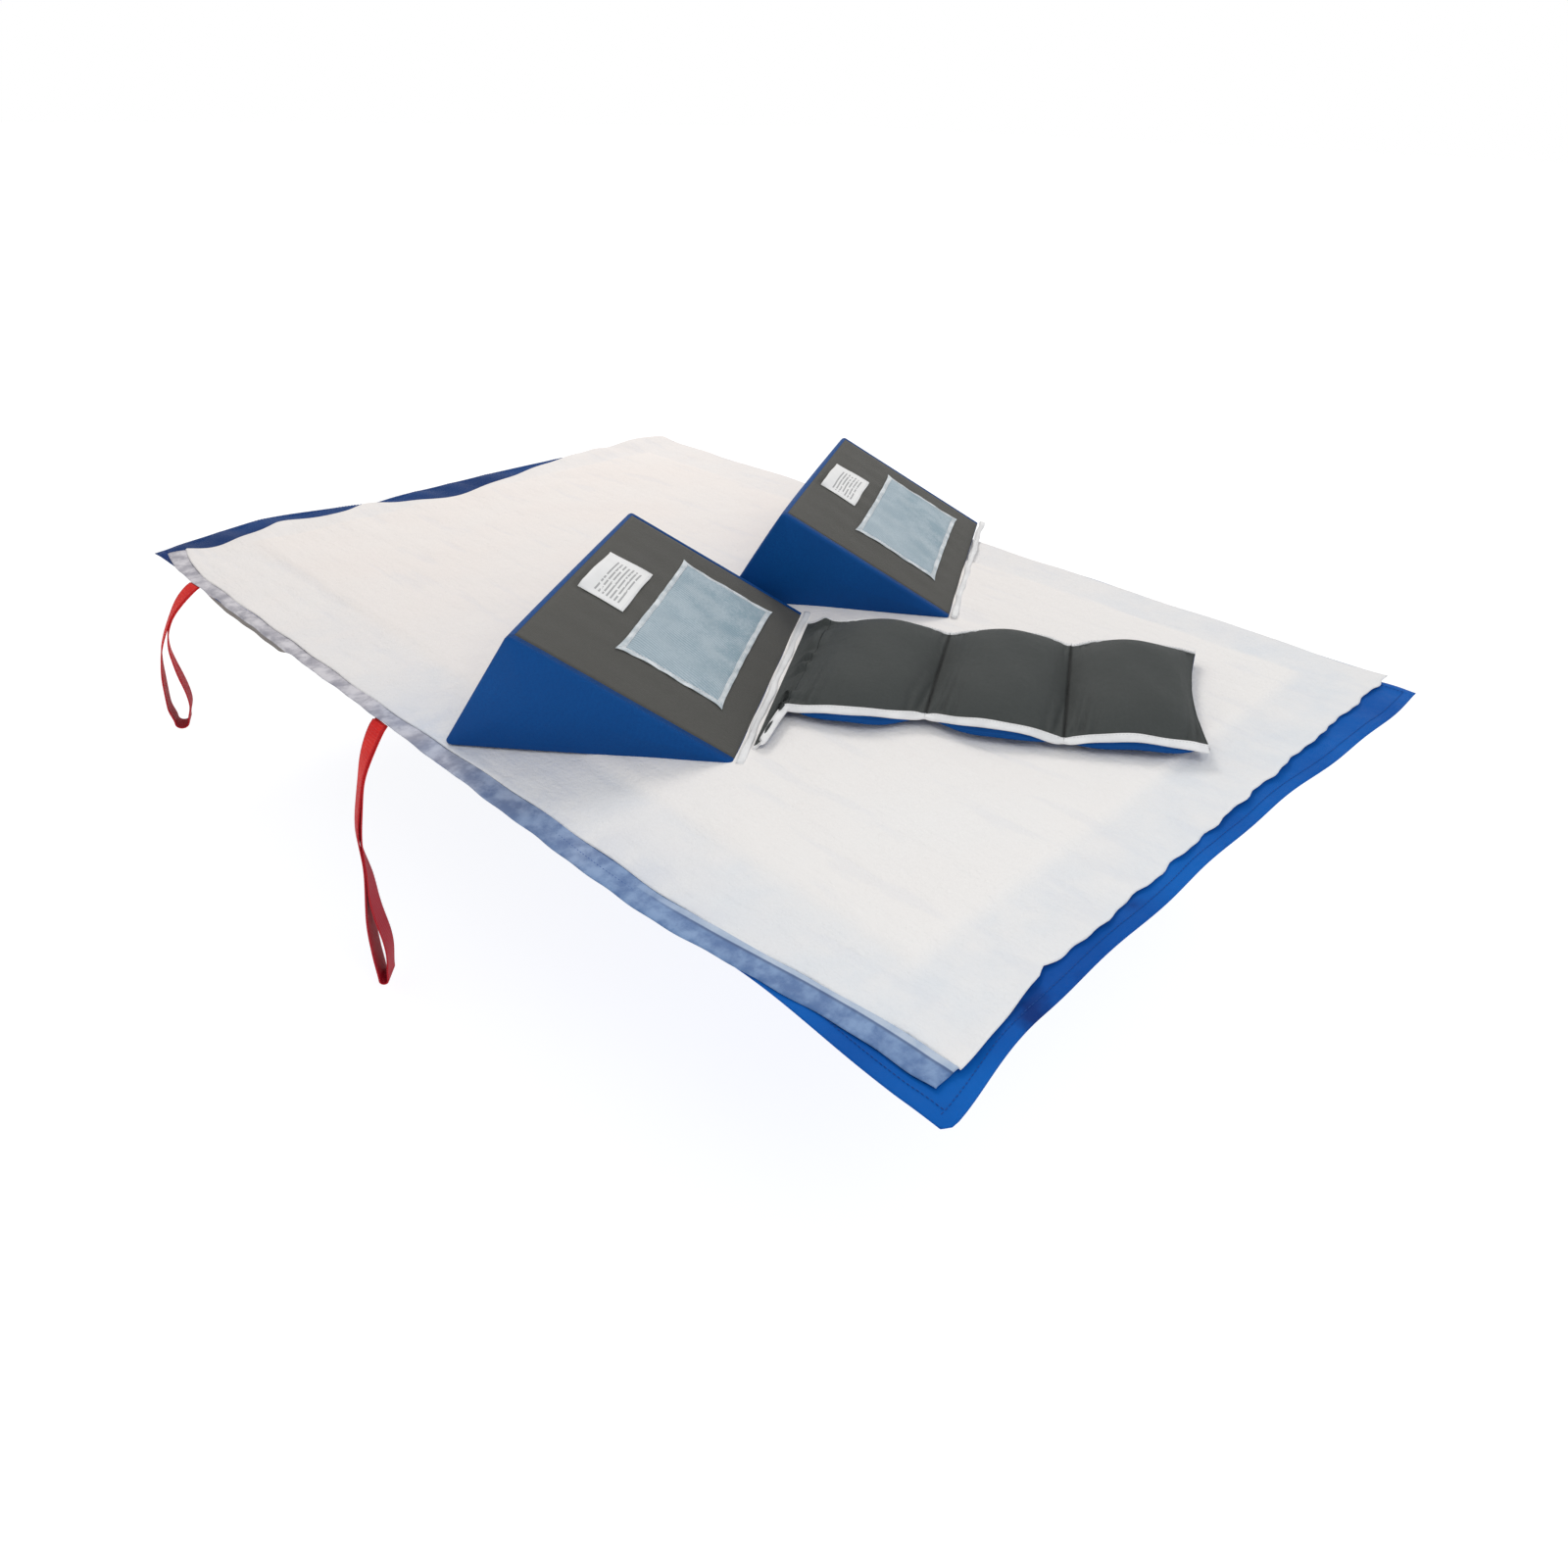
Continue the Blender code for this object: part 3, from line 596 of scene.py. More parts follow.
def wedge_net(place, shrink, out):
    """The whole cover as rings along the ridge, from the middle of one end panel to the other's."""
    section = wedge_section()
    perimeter = WEDGE_BASE + SLOPE_RUN + BACK_RUN
    reach = WEDGE_BASE * WEDGE_HEIGHT / perimeter
    middle = np.array((WEDGE_BASE * (BACK_RUN + RIDGE_IN) / perimeter, reach))
    flat_share = 1 - END_ROUND / reach
    rings = []
    for share in np.linspace(0.0, flat_share, 22):
        rings.append((share, -END_SWELL * out * (1 - (share / flat_share) ** 2.4)))
    for angle in np.linspace(0.0, math.pi / 2, 6)[1:]:
        rings.append((1 - END_ROUND / reach * (1 - math.sin(angle)), END_ROUND * (1 - math.cos(angle))))
    cap = len(rings)
    body = np.linspace(END_ROUND, WEDGE_LENGTH - END_ROUND, 64)[1:-1]
    whole = rings + [(1.0, y) for y in body] + [(s, WEDGE_LENGTH - y) for s, y in reversed(rings)]
    flat = section[:, :2]
    side = section[:, 2].astype(int)
    share = section[:, 3]
    ways = np.array([(0.0, -1.0), (math.sin(SLOPE_ANGLE), math.cos(SLOPE_ANGLE)),
                     (-WEDGE_HEIGHT / BACK_RUN, RIDGE_IN / BACK_RUN)])
    most = np.array((0.0, 0.0, BACK_SWELL))[side]
    points = np.zeros((len(whole), len(section), 3))
    lie = np.zeros((len(whole), len(section), 2))
    around = run_along(flat)
    for number, (scale, y) in enumerate(whole):
        ring = middle + (flat - middle) * scale * shrink
        lie[number] = ring
        if cap <= number < len(whole) - cap:
            lift = most * swell(share, y / WEDGE_LENGTH)
            slope = side == 1
            lift[slope] = slope_swell((1 - share[slope]) * SLOPE_RUN, y)
            ring = ring + ways[side] * (lift * out)[:, None]
            lie[number] = grid(around, y)
        y_in = WEDGE_LENGTH / 2 + (y - WEDGE_LENGTH / 2) * (1 - (1 - shrink) * 0.35)
        points[number] = grid(ring[:, 0], y_in, ring[:, 1])
    slope_faces = np.zeros((len(whole) - 1, len(section) - 1), dtype=bool)
    panel = (side[:-1] == 1) & (side[1:] == 1) & (share[1:] > 0) & (share[:-1] < 0.985)
    slope_faces[cap:len(whole) - cap - 1][:, panel] = True
    return placed(points, place), lie, slope_faces


def canvas(name, constants, tone_scale, tones, dark, creases):
    """A coated canvas: its finish, shader and wire, and the wires of its colour, tone and relief."""
    made, shader, start = finish(name, constants)
    weave = start.weave(0.0011)
    tone = start.noise(tone_scale, 3.0)
    colour = tone.step(0.3, 0.7).mix(*tones)
    colour = (weave * start.noise(420.0, 2.0)).step(0.05, 0.5).mix(dark, colour)
    return made, shader, start, colour, tone * 0.12, start.noise(*creases) * 0.85 + weave * 0.10


CANVAS_GREY, shader, start, colour, tone, relief = canvas(
    "canvas_grey", {"Specular IOR Level": 0.3, "Sheen Weight": 0.05}, 11.0,
    ((0.092, 0.090, 0.082), (0.118, 0.116, 0.108)), (0.078, 0.077, 0.070), (20.0, 5.0, 0.6))
paint(shader, colour, tone + 0.66, relief, 0.0026)

CANVAS_BLUE, shader, start, colour, tone, relief = canvas(
    "canvas_blue", {"Specular IOR Level": 0.12}, 9.0,
    ((0.001, 0.080, 0.310), (0.002, 0.112, 0.410)), (0.001, 0.056, 0.225), (22.0, 4.0, 0.55))
# Painted shade: the blue canvas is painted darker towards the bottom, below 75 mm, where less light reaches
# it.
colour = (start.along("Z").step(0.075, 0.0) * 0.35).mix(colour, (0.001, 0.040, 0.185))
paint(shader, colour, tone + 0.50, relief, 0.0016)

FOAM, shader, start = finish("cover_foam", {"Specular IOR Level": 0.1})
cells = start.noise(700.0, 3.0, 0.7)
paint(shader, cells.step(0.3, 0.7).mix((0.62, 0.56, 0.38), (0.80, 0.75, 0.58)), 0.96, cells, 0.001)

WHITE_CLOTH, shader, start = finish("white_cloth", {"Specular IOR Level": 0.25})
weave = start.weave(0.0009)
tone = start.noise(40.0, 3.0)
colour = tone.step(0.3, 0.7).mix((0.78, 0.78, 0.79), (0.90, 0.90, 0.905))
paint(shader, colour, 0.72, tone * 0.5 + weave * 0.3, 0.0006)

WEDGES = (("front", FRONT_PLACE), ("rear", REAR_PLACE))
COVER_PARTS = ("back_panel", "base_panel", "near_end_panel", "far_end_panel")
for name, place in WEDGES:
    body = f"{name}_wedge"
    points, lie, slope_faces = wedge_net(place, 1.0, 1.0)
    shell = thicken(net(f"{name}_blue_cover", points, lie, ~slope_faces), COVER_THICK, CANVAS_BLUE)
    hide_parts(*(f"{name}_{part}" for part in COVER_PARTS))
    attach(shell, body)
    slope = thicken(net(f"{name}_grey_slope", points, lie, slope_faces), COVER_THICK, CANVAS_GREY)
    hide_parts(f"{name}_slope_panel")
    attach(slope, body)
    points, lie, _ = wedge_net(place, 0.94, 0.0)
    block = net(f"{name}_foam_block", points, lie)
    block.data.materials.append(FOAM)
    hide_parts(f"{name}_foam")
    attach(block, body)


# Stitches: lockstitch in spun thread, one small bead for each stitch, along any sewn line.
# Each sewn line is a curve; the tree sets a bead on it at every stitch length.
STITCH_PITCH = 0.0034
STITCH_THICK = 0.0008
BEAD_SHARE = 0.74


def spun_thread(name, dark, light, roughness):
    """A thread's finish, with its twist."""
    made, shader, start = finish(name, {"Specular IOR Level": 0.3})
    twist = start.noise(1500.0, 2.0)
    paint(shader, twist.mix(dark, light), roughness, twist, 0.0003)
    return made


THREAD_WHITE = spun_thread("thread_white", (0.62, 0.63, 0.64), (0.86, 0.86, 0.87), 0.7)
THREAD_BLUE = spun_thread("thread_blue", (0.003, 0.045, 0.220), (0.006, 0.085, 0.380), 0.6)
THREAD_RED = spun_thread("thread_red", (0.34, 0.010, 0.012), (0.60, 0.030, 0.025), 0.6)


def stitch_tree():
    """Beads along a curve, with the stitch length, thickness and thread as its inputs."""
    tree = bpy.data.node_groups.new("stitches", "GeometryNodeTree")
    for label, kind in (("Geometry", "NodeSocketGeometry"), ("Pitch", "NodeSocketFloat"),
                        ("Thickness", "NodeSocketFloat"), ("Thread", "NodeSocketMaterial")):
        tree.interface.new_socket(label, in_out="INPUT", socket_type=kind)
    tree.interface.new_socket("Geometry", in_out="OUTPUT", socket_type="NodeSocketGeometry")
    start = Wire(tree)
    line, pitch, thick, thread = (start.node("NodeGroupInput", out=number) for number in range(4))
    spots = start.node("GeometryNodeCurveToPoints", {"mode": "LENGTH"}, {"Curve": line, "Length": pitch})
    turn = Wire(tree, spots.socket.node.outputs["Rotation"])
    bead = start.node("GeometryNodeMeshUVSphere", None, {"Segments": 6, "Rings": 4, "Radius": 0.5})
    size = start.node("ShaderNodeCombineXYZ", None, {"X": thick, "Y": thick, "Z": pitch * BEAD_SHARE})
    sockets = {"Points": spots, "Rotation": turn, "Instance": bead, "Scale": size}
    spread = start.node("GeometryNodeInstanceOnPoints", None, sockets)
    real = start.node("GeometryNodeRealizeInstances", None, {"Geometry": spread})
    beads = start.node("GeometryNodeSetMaterial", None, {"Geometry": real, "Material": thread})
    tree.links.new(beads.socket, tree.nodes.new("NodeGroupOutput").inputs["Geometry"])
    return tree


STITCHES = stitch_tree()


def sew(name, lines, body, thread, pitch=STITCH_PITCH, thickness=STITCH_THICK):
    """Sews along lines of points and leaves the stitches as one mesh on a body."""
    curve = bpy.data.curves.new(name, "CURVE")
    curve.dimensions = "3D"
    for line in lines:
        spline = curve.splines.new("POLY")
        spline.points.add(len(line) - 1)
        spline.points.foreach_set("co", np.column_stack([line, np.ones(len(line))]).ravel())
    sewn = added(name + "_line", curve)
    rule = sewn.modifiers.new("stitches", "NODES")
    rule.node_group = STITCHES
    inputs = {item.name: item.identifier for item in STITCHES.interface.items_tree if item.in_out == "INPUT"}
    rule[inputs["Pitch"]] = pitch
    rule[inputs["Thickness"]] = thickness
    rule[inputs["Thread"]] = thread
    data = worked_out(sewn)
    bpy.data.objects.remove(sewn)
    data.name = name
    made = added(name, data)
    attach(made, body)


# The glide sheet's hem is sewn all round, 11 mm in from the edge. The sewn lines stop just short of
# the corners, and follow the wandering edges and the ripples of the cloth under them.
HEM_SEAM = 0.011


def sheet_point(x, y):
    return grid(x, y, sheet_height(x, y) + 0.0001)


hem_y = np.linspace(-0.396, 0.390, 240)
hem_x = np.linspace(-0.690, 0.699, 420)
hem_lines = [
    sheet_point(sheet_left(hem_y) + HEM_SEAM, hem_y),
    sheet_point(sheet_right(hem_y) - HEM_SEAM, hem_y),
    sheet_point(hem_x, sheet_near(hem_x) + HEM_SEAM),
    sheet_point(hem_x, sheet_far(hem_x) - HEM_SEAM),
]
sew("glide_sheet_hem_stitches", hem_lines, "sheet", THREAD_BLUE, pitch=0.0042)


# Each wedge's sewn-on pieces: a satin label near the ridge, with a few grey bars and an upper edge that
# curls up, and the pale loop patch with a flattened, sewn-down border. White tape binds the thin edge.
LABEL_DOWN = 0.0167
LABEL_ALONG = 0.137
LABEL_SIZE = (0.0525, 0.101)
PATCH_DOWN = 0.088
PATCH_ALONG = 0.073
PATCH_SIZE = (0.1165, 0.233)
PATCH_BORDER = 0.0072
RIB_PITCH = 0.0036
RIB_ALONG = 0.96
RIB_DOWN = 0.28
LABEL_THICK = 0.0003
PATCH_THICK = 0.0010
BORDER_THICK = 0.0006
EDGE_TAPE_WIDTH = 0.0078
EDGE_TAPE_HEIGHT = 0.0034
EDGE_TAPE_TILT = 0.16

LABEL_SATIN, shader, start = finish("label_satin", {"Specular IOR Level": 0.4})
down = start.on_cloth("X")
along = start.on_cloth("Y")
rows = (down * (2 * math.pi / 0.0046)).sine().step(0.05, 0.40)
breaks = start.noise(150.0, 1.0)
block = down.step(0.0120, 0.0125) * down.step(0.0455, 0.0450) * along.step(0.010, 0.0105)
block = block * (along + breaks * 0.02).step(0.098, 0.097)
bars = rows * block * breaks.step(0.36, 0.41)
tone = start.noise(60.0, 2.0)
plain = tone.mix((0.80, 0.80, 0.80), (0.90, 0.90, 0.90))
paint(shader, (bars * 0.75).mix(plain, (0.24, 0.24, 0.25)), 0.55, tone, 0.0004)

LOOP_PILE, shader, start = finish("loop_pile", {"Specular IOR Level": 0.1, "Sheen Weight": 0.25})
down = start.on_cloth("X")
along = start.on_cloth("Y")
ribs = ((along * RIB_ALONG + down * RIB_DOWN) * (2 * math.pi / RIB_PITCH)).sine() * 0.5 + 0.5
fuzz = start.noise(380.0, 4.0, 0.65)
cloud = start.noise(34.0, 3.0)
fade = (along * 0.55 + down).step(0.02, 0.19)
colour = fade.mix((0.41, 0.50, 0.56), (0.27, 0.38, 0.45))
colour = (cloud * 0.6 + fuzz * 0.4).step(0.38, 0.62).mix(colour, (0.46, 0.55, 0.61))
colour = ((ribs * fuzz).step(0.05, 0.40) * 0.5 + 0.5).mix((0.20, 0.29, 0.35), colour)
paint(shader, colour, 0.95, ribs * 0.3 + fuzz * 0.7, 0.0008)

BORDER_CLOTH, shader, start = finish("patch_border", {"Specular IOR Level": 0.2})
fuzz = start.noise(300.0, 4.0, 0.6)
cloud = start.noise(60.0, 3.0)
colour = cloud.step(0.35, 0.65).mix((0.50, 0.56, 0.60), (0.74, 0.78, 0.81))
paint(shader, colour, 0.8, fuzz, 0.0006)


def on_slope(down, along, height):
    """Points at a height over the swollen slope panel, in the wedge's frame."""
    rise = slope_swell(down, along) + height
    return placed(grid(down, along, rise), SLOPE_PLACE)


def sewn_net(low, size, steps, height, place, bow=0.0):
    """A rectangle of cloth sewn on the slope; its sides may bow inwards a little."""
    a, b = np.meshgrid(np.linspace(0, 1, steps[0]), np.linspace(0, 1, steps[1]), indexing="ij")
    pull_down = bow * (1 - (2 * b - 1) ** 2) * (1 - 2 * a) + 0.0004 * np.sin(b * 9)
    pull_along = bow * (1 - (2 * a - 1) ** 2) * (1 - 2 * b)
    down = low[0] + size[0] * a + pull_down
    along = low[1] + size[1] * b + pull_along
    points = placed(on_slope(down, along, height(a, b)), place)
    return points, grid(a * size[0], b * size[1])


def label_height(a, b):
    curl = 0.0058 * ease(1 - a / 0.42) ** 1.4 * ease((0.80 - b) / 0.55) * ease(b / 0.10 + 0.2)
    return 0.0012 + curl + 0.0004 * np.sin(b * 11)


def patch_height(a, b):
    across_ribs = b * PATCH_SIZE[1] * RIB_ALONG + a * PATCH_SIZE[0] * RIB_DOWN
    rib = 0.00010 * np.sin(across_ribs * 2 * math.pi / RIB_PITCH)
    edge = np.minimum(np.minimum(a, 1 - a) * PATCH_SIZE[0], np.minimum(b, 1 - b) * PATCH_SIZE[1])
    return 0.0012 + 0.0011 * ease(edge / 0.006) + rib * ease(edge / 0.004)


def border_net(place):
    """The patch's border as a flat frame with small ears at its corners."""
    out_low = np.array((PATCH_DOWN, PATCH_ALONG))
    out_high = out_low + PATCH_SIZE
    in_low = out_low + PATCH_BORDER - 0.001
    in_high = out_high - PATCH_BORDER + 0.001
    t = np.linspace(0, 1, 40)
    rings = []
    for share in (0.0, 0.06, 0.3, 0.6, 0.9, 1.0):
        low = out_low * (1 - share) + in_low * share
        high = out_high * (1 - share) + in_high * share
        sides = [
            grid(low[0], low[1] + (high[1] - low[1]) * t), grid(low[0] + (high[0] - low[0]) * t, high[1]),
            grid(high[0], high[1] - (high[1] - low[1]) * t), grid(high[0] - (high[0] - low[0]) * t, low[1]),
        ]
        ring = np.concatenate([side[:-1] for side in sides] + [sides[0][:1]])
        number = np.arange(len(ring))
        ragged = 0.0003 * np.sin(number * 0.9) * np.sin(number * 0.37) * (1 - share)
        middle = (out_low + out_high) / 2
        away = ring - middle
        corner = np.abs(away / (out_high - middle)).min(axis=1)
        ears = 0.0045 * corner ** 14 * (1 - share)
        bow = 0.0010 * (1 - corner ** 2)
        ring = ring + away / np.linalg.norm(away, axis=1)[:, None] * (ragged + ears - bow)[:, None]
        rise = 0.0012 + 0.0009 * math.sin(math.pi * share) + 0.0003 * np.sin(number * 0.7)
        rings.append(placed(on_slope(ring[:, 0], ring[:, 1], rise), place))
    return np.array(rings), grid(number[None, :] * 0.004, np.arange(len(rings))[:, None] * 0.002)


def tape(name, place, middle, across, over, width, height):
    """Folded binding tape along a line of a piece: a flattened tube, closed at both ends."""
    turn = place.to_3x3().to_4x4()
    middle, across, over = placed(middle, place), placed(across, turn), placed(over, turn)
    angles = np.linspace(0, 2 * math.pi, 15)
    round_x = np.sign(np.cos(angles)) * np.abs(np.cos(angles)) ** 0.55
    round_z = np.sign(np.sin(angles)) * np.abs(np.sin(angles)) ** 0.75
    run = run_along(middle)
    body = (middle[:, None, :] + across[:, None, :] * (width[:, None] / 2 * round_x[None, :])[..., None]
            + over[:, None, :] * (height / 2 * round_z[None, :])[..., None])
    ends = [np.broadcast_to(middle[i], (1, len(angles), 3)) for i in (0, -1)]
    points = np.concatenate([ends[0], body, ends[1]])
    made = net(name, points, grid(np.concatenate(([0.0], run, run[-1:]))[:, None], angles[None, :] * 0.0035))
    made.data.materials.append(WHITE_CLOTH)
    return made


for name, place in WEDGES:
    body = f"{name}_wedge"
    points, lie = sewn_net((LABEL_DOWN, LABEL_ALONG), LABEL_SIZE, (26, 40), label_height, place)
    label = thicken(net(f"{name}_care_label", points, lie), LABEL_THICK, LABEL_SATIN)
    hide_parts(f"{name}_label")
    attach(label, body)
    tucked = PATCH_BORDER - 0.0020
    low = (PATCH_DOWN + tucked, PATCH_ALONG + tucked)
    size = (PATCH_SIZE[0] - 2 * tucked, PATCH_SIZE[1] - 2 * tucked)
    points, lie = sewn_net(low, size, (110, 230), patch_height, place, 0.0008)
    patch = thicken(net(f"{name}_loop_patch", points, lie), PATCH_THICK, LOOP_PILE)
    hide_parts(f"{name}_grip_patch")
    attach(patch, body)
    points, lie = border_net(place)
    border = thicken(net(f"{name}_loop_patch_border", points, lie), BORDER_THICK, BORDER_CLOTH)
    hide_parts(f"{name}_patch_border")
    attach(border, body)

    t = np.linspace(0, 1, 90)
    y = 0.0005 + t * (WEDGE_LENGTH - 0.001)
    wave = 0.0009 * np.sin(t * 21) + 0.0005 * np.sin(t * 47 + 1)
    middle = grid(WEDGE_BASE + 0.0030 + wave, y, 0.0021 + 0.0004 * np.sin(t * 30))
    across = grid(math.cos(EDGE_TAPE_TILT), np.zeros(len(t)), -math.sin(EDGE_TAPE_TILT))
    over = grid(math.sin(EDGE_TAPE_TILT), np.zeros(len(t)), math.cos(EDGE_TAPE_TILT))
    width = EDGE_TAPE_WIDTH + 0.0006 * np.sin(t * 33)
    binding = tape(f"{name}_edge_tape", place, middle, across, over, width, EDGE_TAPE_HEIGHT)
    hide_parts(f"{name}_edge_binding")
    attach(binding, body)

    t = np.linspace(0, 1, 60)
    patch_lines = []
    for offset in (0.0035, PATCH_BORDER - 0.0020):
        low_d, low_a = PATCH_DOWN + offset, PATCH_ALONG + offset
        high_d, high_a = PATCH_DOWN + PATCH_SIZE[0] - offset, PATCH_ALONG + PATCH_SIZE[1] - offset
        bow = 0.0009 * (1 - (2 * t - 1) ** 2)
        for down, along in (
            (low_d + bow, low_a + (high_a - low_a) * t),
            (high_d - bow, low_a + (high_a - low_a) * t),
            (low_d + (high_d - low_d) * t, low_a + bow),
            (low_d + (high_d - low_d) * t, high_a - bow),
        ):
            patch_lines.append(placed(on_slope(down, along, 0.0020), place))
    sew(f"{name}_patch_stitches", patch_lines, body, THREAD_WHITE)
    label_lines = []
    for down, along in (
        (LABEL_DOWN + 0.050, LABEL_ALONG + 0.002 + 0.097 * t),
        (LABEL_DOWN + 0.024 + 0.026 * t, LABEL_ALONG + 0.002),
        (LABEL_DOWN + 0.024 + 0.026 * t, LABEL_ALONG + 0.099),
    ):
        label_lines.append(placed(on_slope(down, along, 0.0018), place))
    sew(f"{name}_label_stitches", label_lines, body, THREAD_WHITE, 0.0028, 0.0005)
    tape_line = grid(WEDGE_BASE + 0.0012, 0.003 + t * (WEDGE_LENGTH - 0.006), 0.0044)
    sew(f"{name}_tape_stitches", [placed(tape_line, place)], body, THREAD_WHITE)


# The anchor strip, sewn to the front wedge's thin edge: three pillows of loose fibre between a grey cloth
# and a blue one, with cross seams pinched flat between them. White tape binds both long sides and turns
# the corner into the wide flange by the wedge; the outer end is only turned in and sewn.
PILLOW = 0.1405
FLANGE = 0.0275
SKEW = math.radians(3.5)
STRIP_WIDTH = 0.222
ANCHOR_START = 0.2976
ANCHOR_MIDDLE = 0.200
STRIP_LEVEL = 0.01515
PILLOW_CROWN = 0.0200
TAPE_WIDTH = 0.0092
TAPE_HEIGHT = 0.0032
FLANGE_LEVEL = 0.0015
FLANGE_HALF = 0.150
PILLOW_RISE = 0.0048
STRIP_START = 0.0003
CLOTH_THICK = 0.0009
# Each pleat's place along a pillow, as a share, and its depth.
PLEATS = ((0.055, 0.0050), (0.105, 0.0085), (0.19, 0.0040), (0.85, 0.0036), (0.93, 0.0075))
ANCHOR_PLACE = (FRONT_PLACE @ Matrix.Translation((ANCHOR_START, ANCHOR_MIDDLE, 0.0))
                @ Matrix.Rotation(-SKEW, 4, "Z"))
SEAM_ONE = FLANGE + PILLOW
SEAM_TWO = FLANGE + 2 * PILLOW
STRIP_END = FLANGE + 3 * PILLOW

ANCHOR_GREY, shader, start, colour, tone, relief = canvas(
    "anchor_grey", {"Specular IOR Level": 0.3}, 11.0,
    ((0.066, 0.076, 0.075), (0.090, 0.101, 0.099)), (0.050, 0.056, 0.055), (24.0, 4.0, 0.6))
along = start.on_cloth("X")
# Painted shade: the grey cloth is painted near-black for a few millimetres each side of the two cross seams,
# for the shade in their deep folds.
for seam in (SEAM_ONE, SEAM_TWO):
    seam_shade = along.step(seam - 0.0036, seam - 0.0006) * along.step(seam + 0.0036, seam + 0.0006)
    colour = (seam_shade * 0.85).mix(colour, (0.014, 0.016, 0.016))
paint(shader, colour, tone + 0.64, relief, 0.0034)


def strip_edge(s, side, inwards):
    """The strip's near (-1) or far (1) edge at a distance from the wedge, moved inwards."""
    flange = WEDGE_LENGTH / 2 - ANCHOR_MIDDLE + side * FLANGE_HALF
    share = ease((s / FLANGE - 0.52) / 0.48)
    pull = 0.011 * hump(s, SEAM_ONE, 0.035) - 0.008 * hump(s, SEAM_TWO, 0.040)
    if side > 0:
        pull = 0.004 * hump(s, SEAM_ONE, 0.02) + 0.004 * hump(s, SEAM_TWO, 0.02)
    swell_out = 0.003 * np.sin(np.pi * np.clip((s - FLANGE) / PILLOW % 1.0, 0, 1)) * (s > FLANGE)
    return flange * (1 - share) + side * (STRIP_WIDTH / 2 + swell_out - pull) * share - side * inwards


def strip_level(s):
    """The height of the strip's middle over the pad: it rises off the flange and sags at each seam."""
    start = FLANGE_LEVEL + (STRIP_LEVEL - FLANGE_LEVEL) * ease(s / FLANGE)
    start = start + PILLOW_RISE * np.sin(math.pi * np.clip((s - FLANGE) / PILLOW, 0.0, 3.0)) ** 2
    return start - 0.0020 * hump(s, SEAM_ONE, 0.016) - 0.0030 * hump(s, SEAM_TWO, 0.018) \
        - 0.0015 * ease((s - STRIP_END + 0.02) / 0.02)


def strip_point(s, w, height):
    lead = np.maximum(1 - s / FLANGE, 0.0)
    return grid(s - lead * w * math.tan(SKEW), w, strip_level(s) + height)


def pillow_lift(s, b, start):
    """How far the fibre lifts the cloth: full between the seams, pinched at them, with small pleats."""
    a = np.clip((s - start) / PILLOW, 0.0, 1.0)
    lift = PILLOW_CROWN * (1 - np.abs(2 * a - 1) ** 2.8) * (1 - np.abs(2 * b - 1) ** 4.0)
    lift = lift * (1 + 0.07 * np.sin(s * 71 + b * 4) * np.sin(b * 9 + s * 23))
    for place, depth in PLEATS:
        near = hump(a, place + b * 0.15, 0.019) * np.exp(-b / 0.15) * ease(b / 0.03)
        far = hump(a, place + 0.02, 0.018) * np.exp(-(1 - b) / 0.10) * ease((1 - b) / 0.03)
        lift = lift - depth * (near + 0.6 * far)
    return np.maximum(lift, 0.0)


def end_bow(s, b, last):
    """The outer end is drawn in between its two corners."""
    return -0.010 * last * (1 - (2 * b - 1) ** 2) * ease((s - STRIP_END + 0.03) / 0.03)


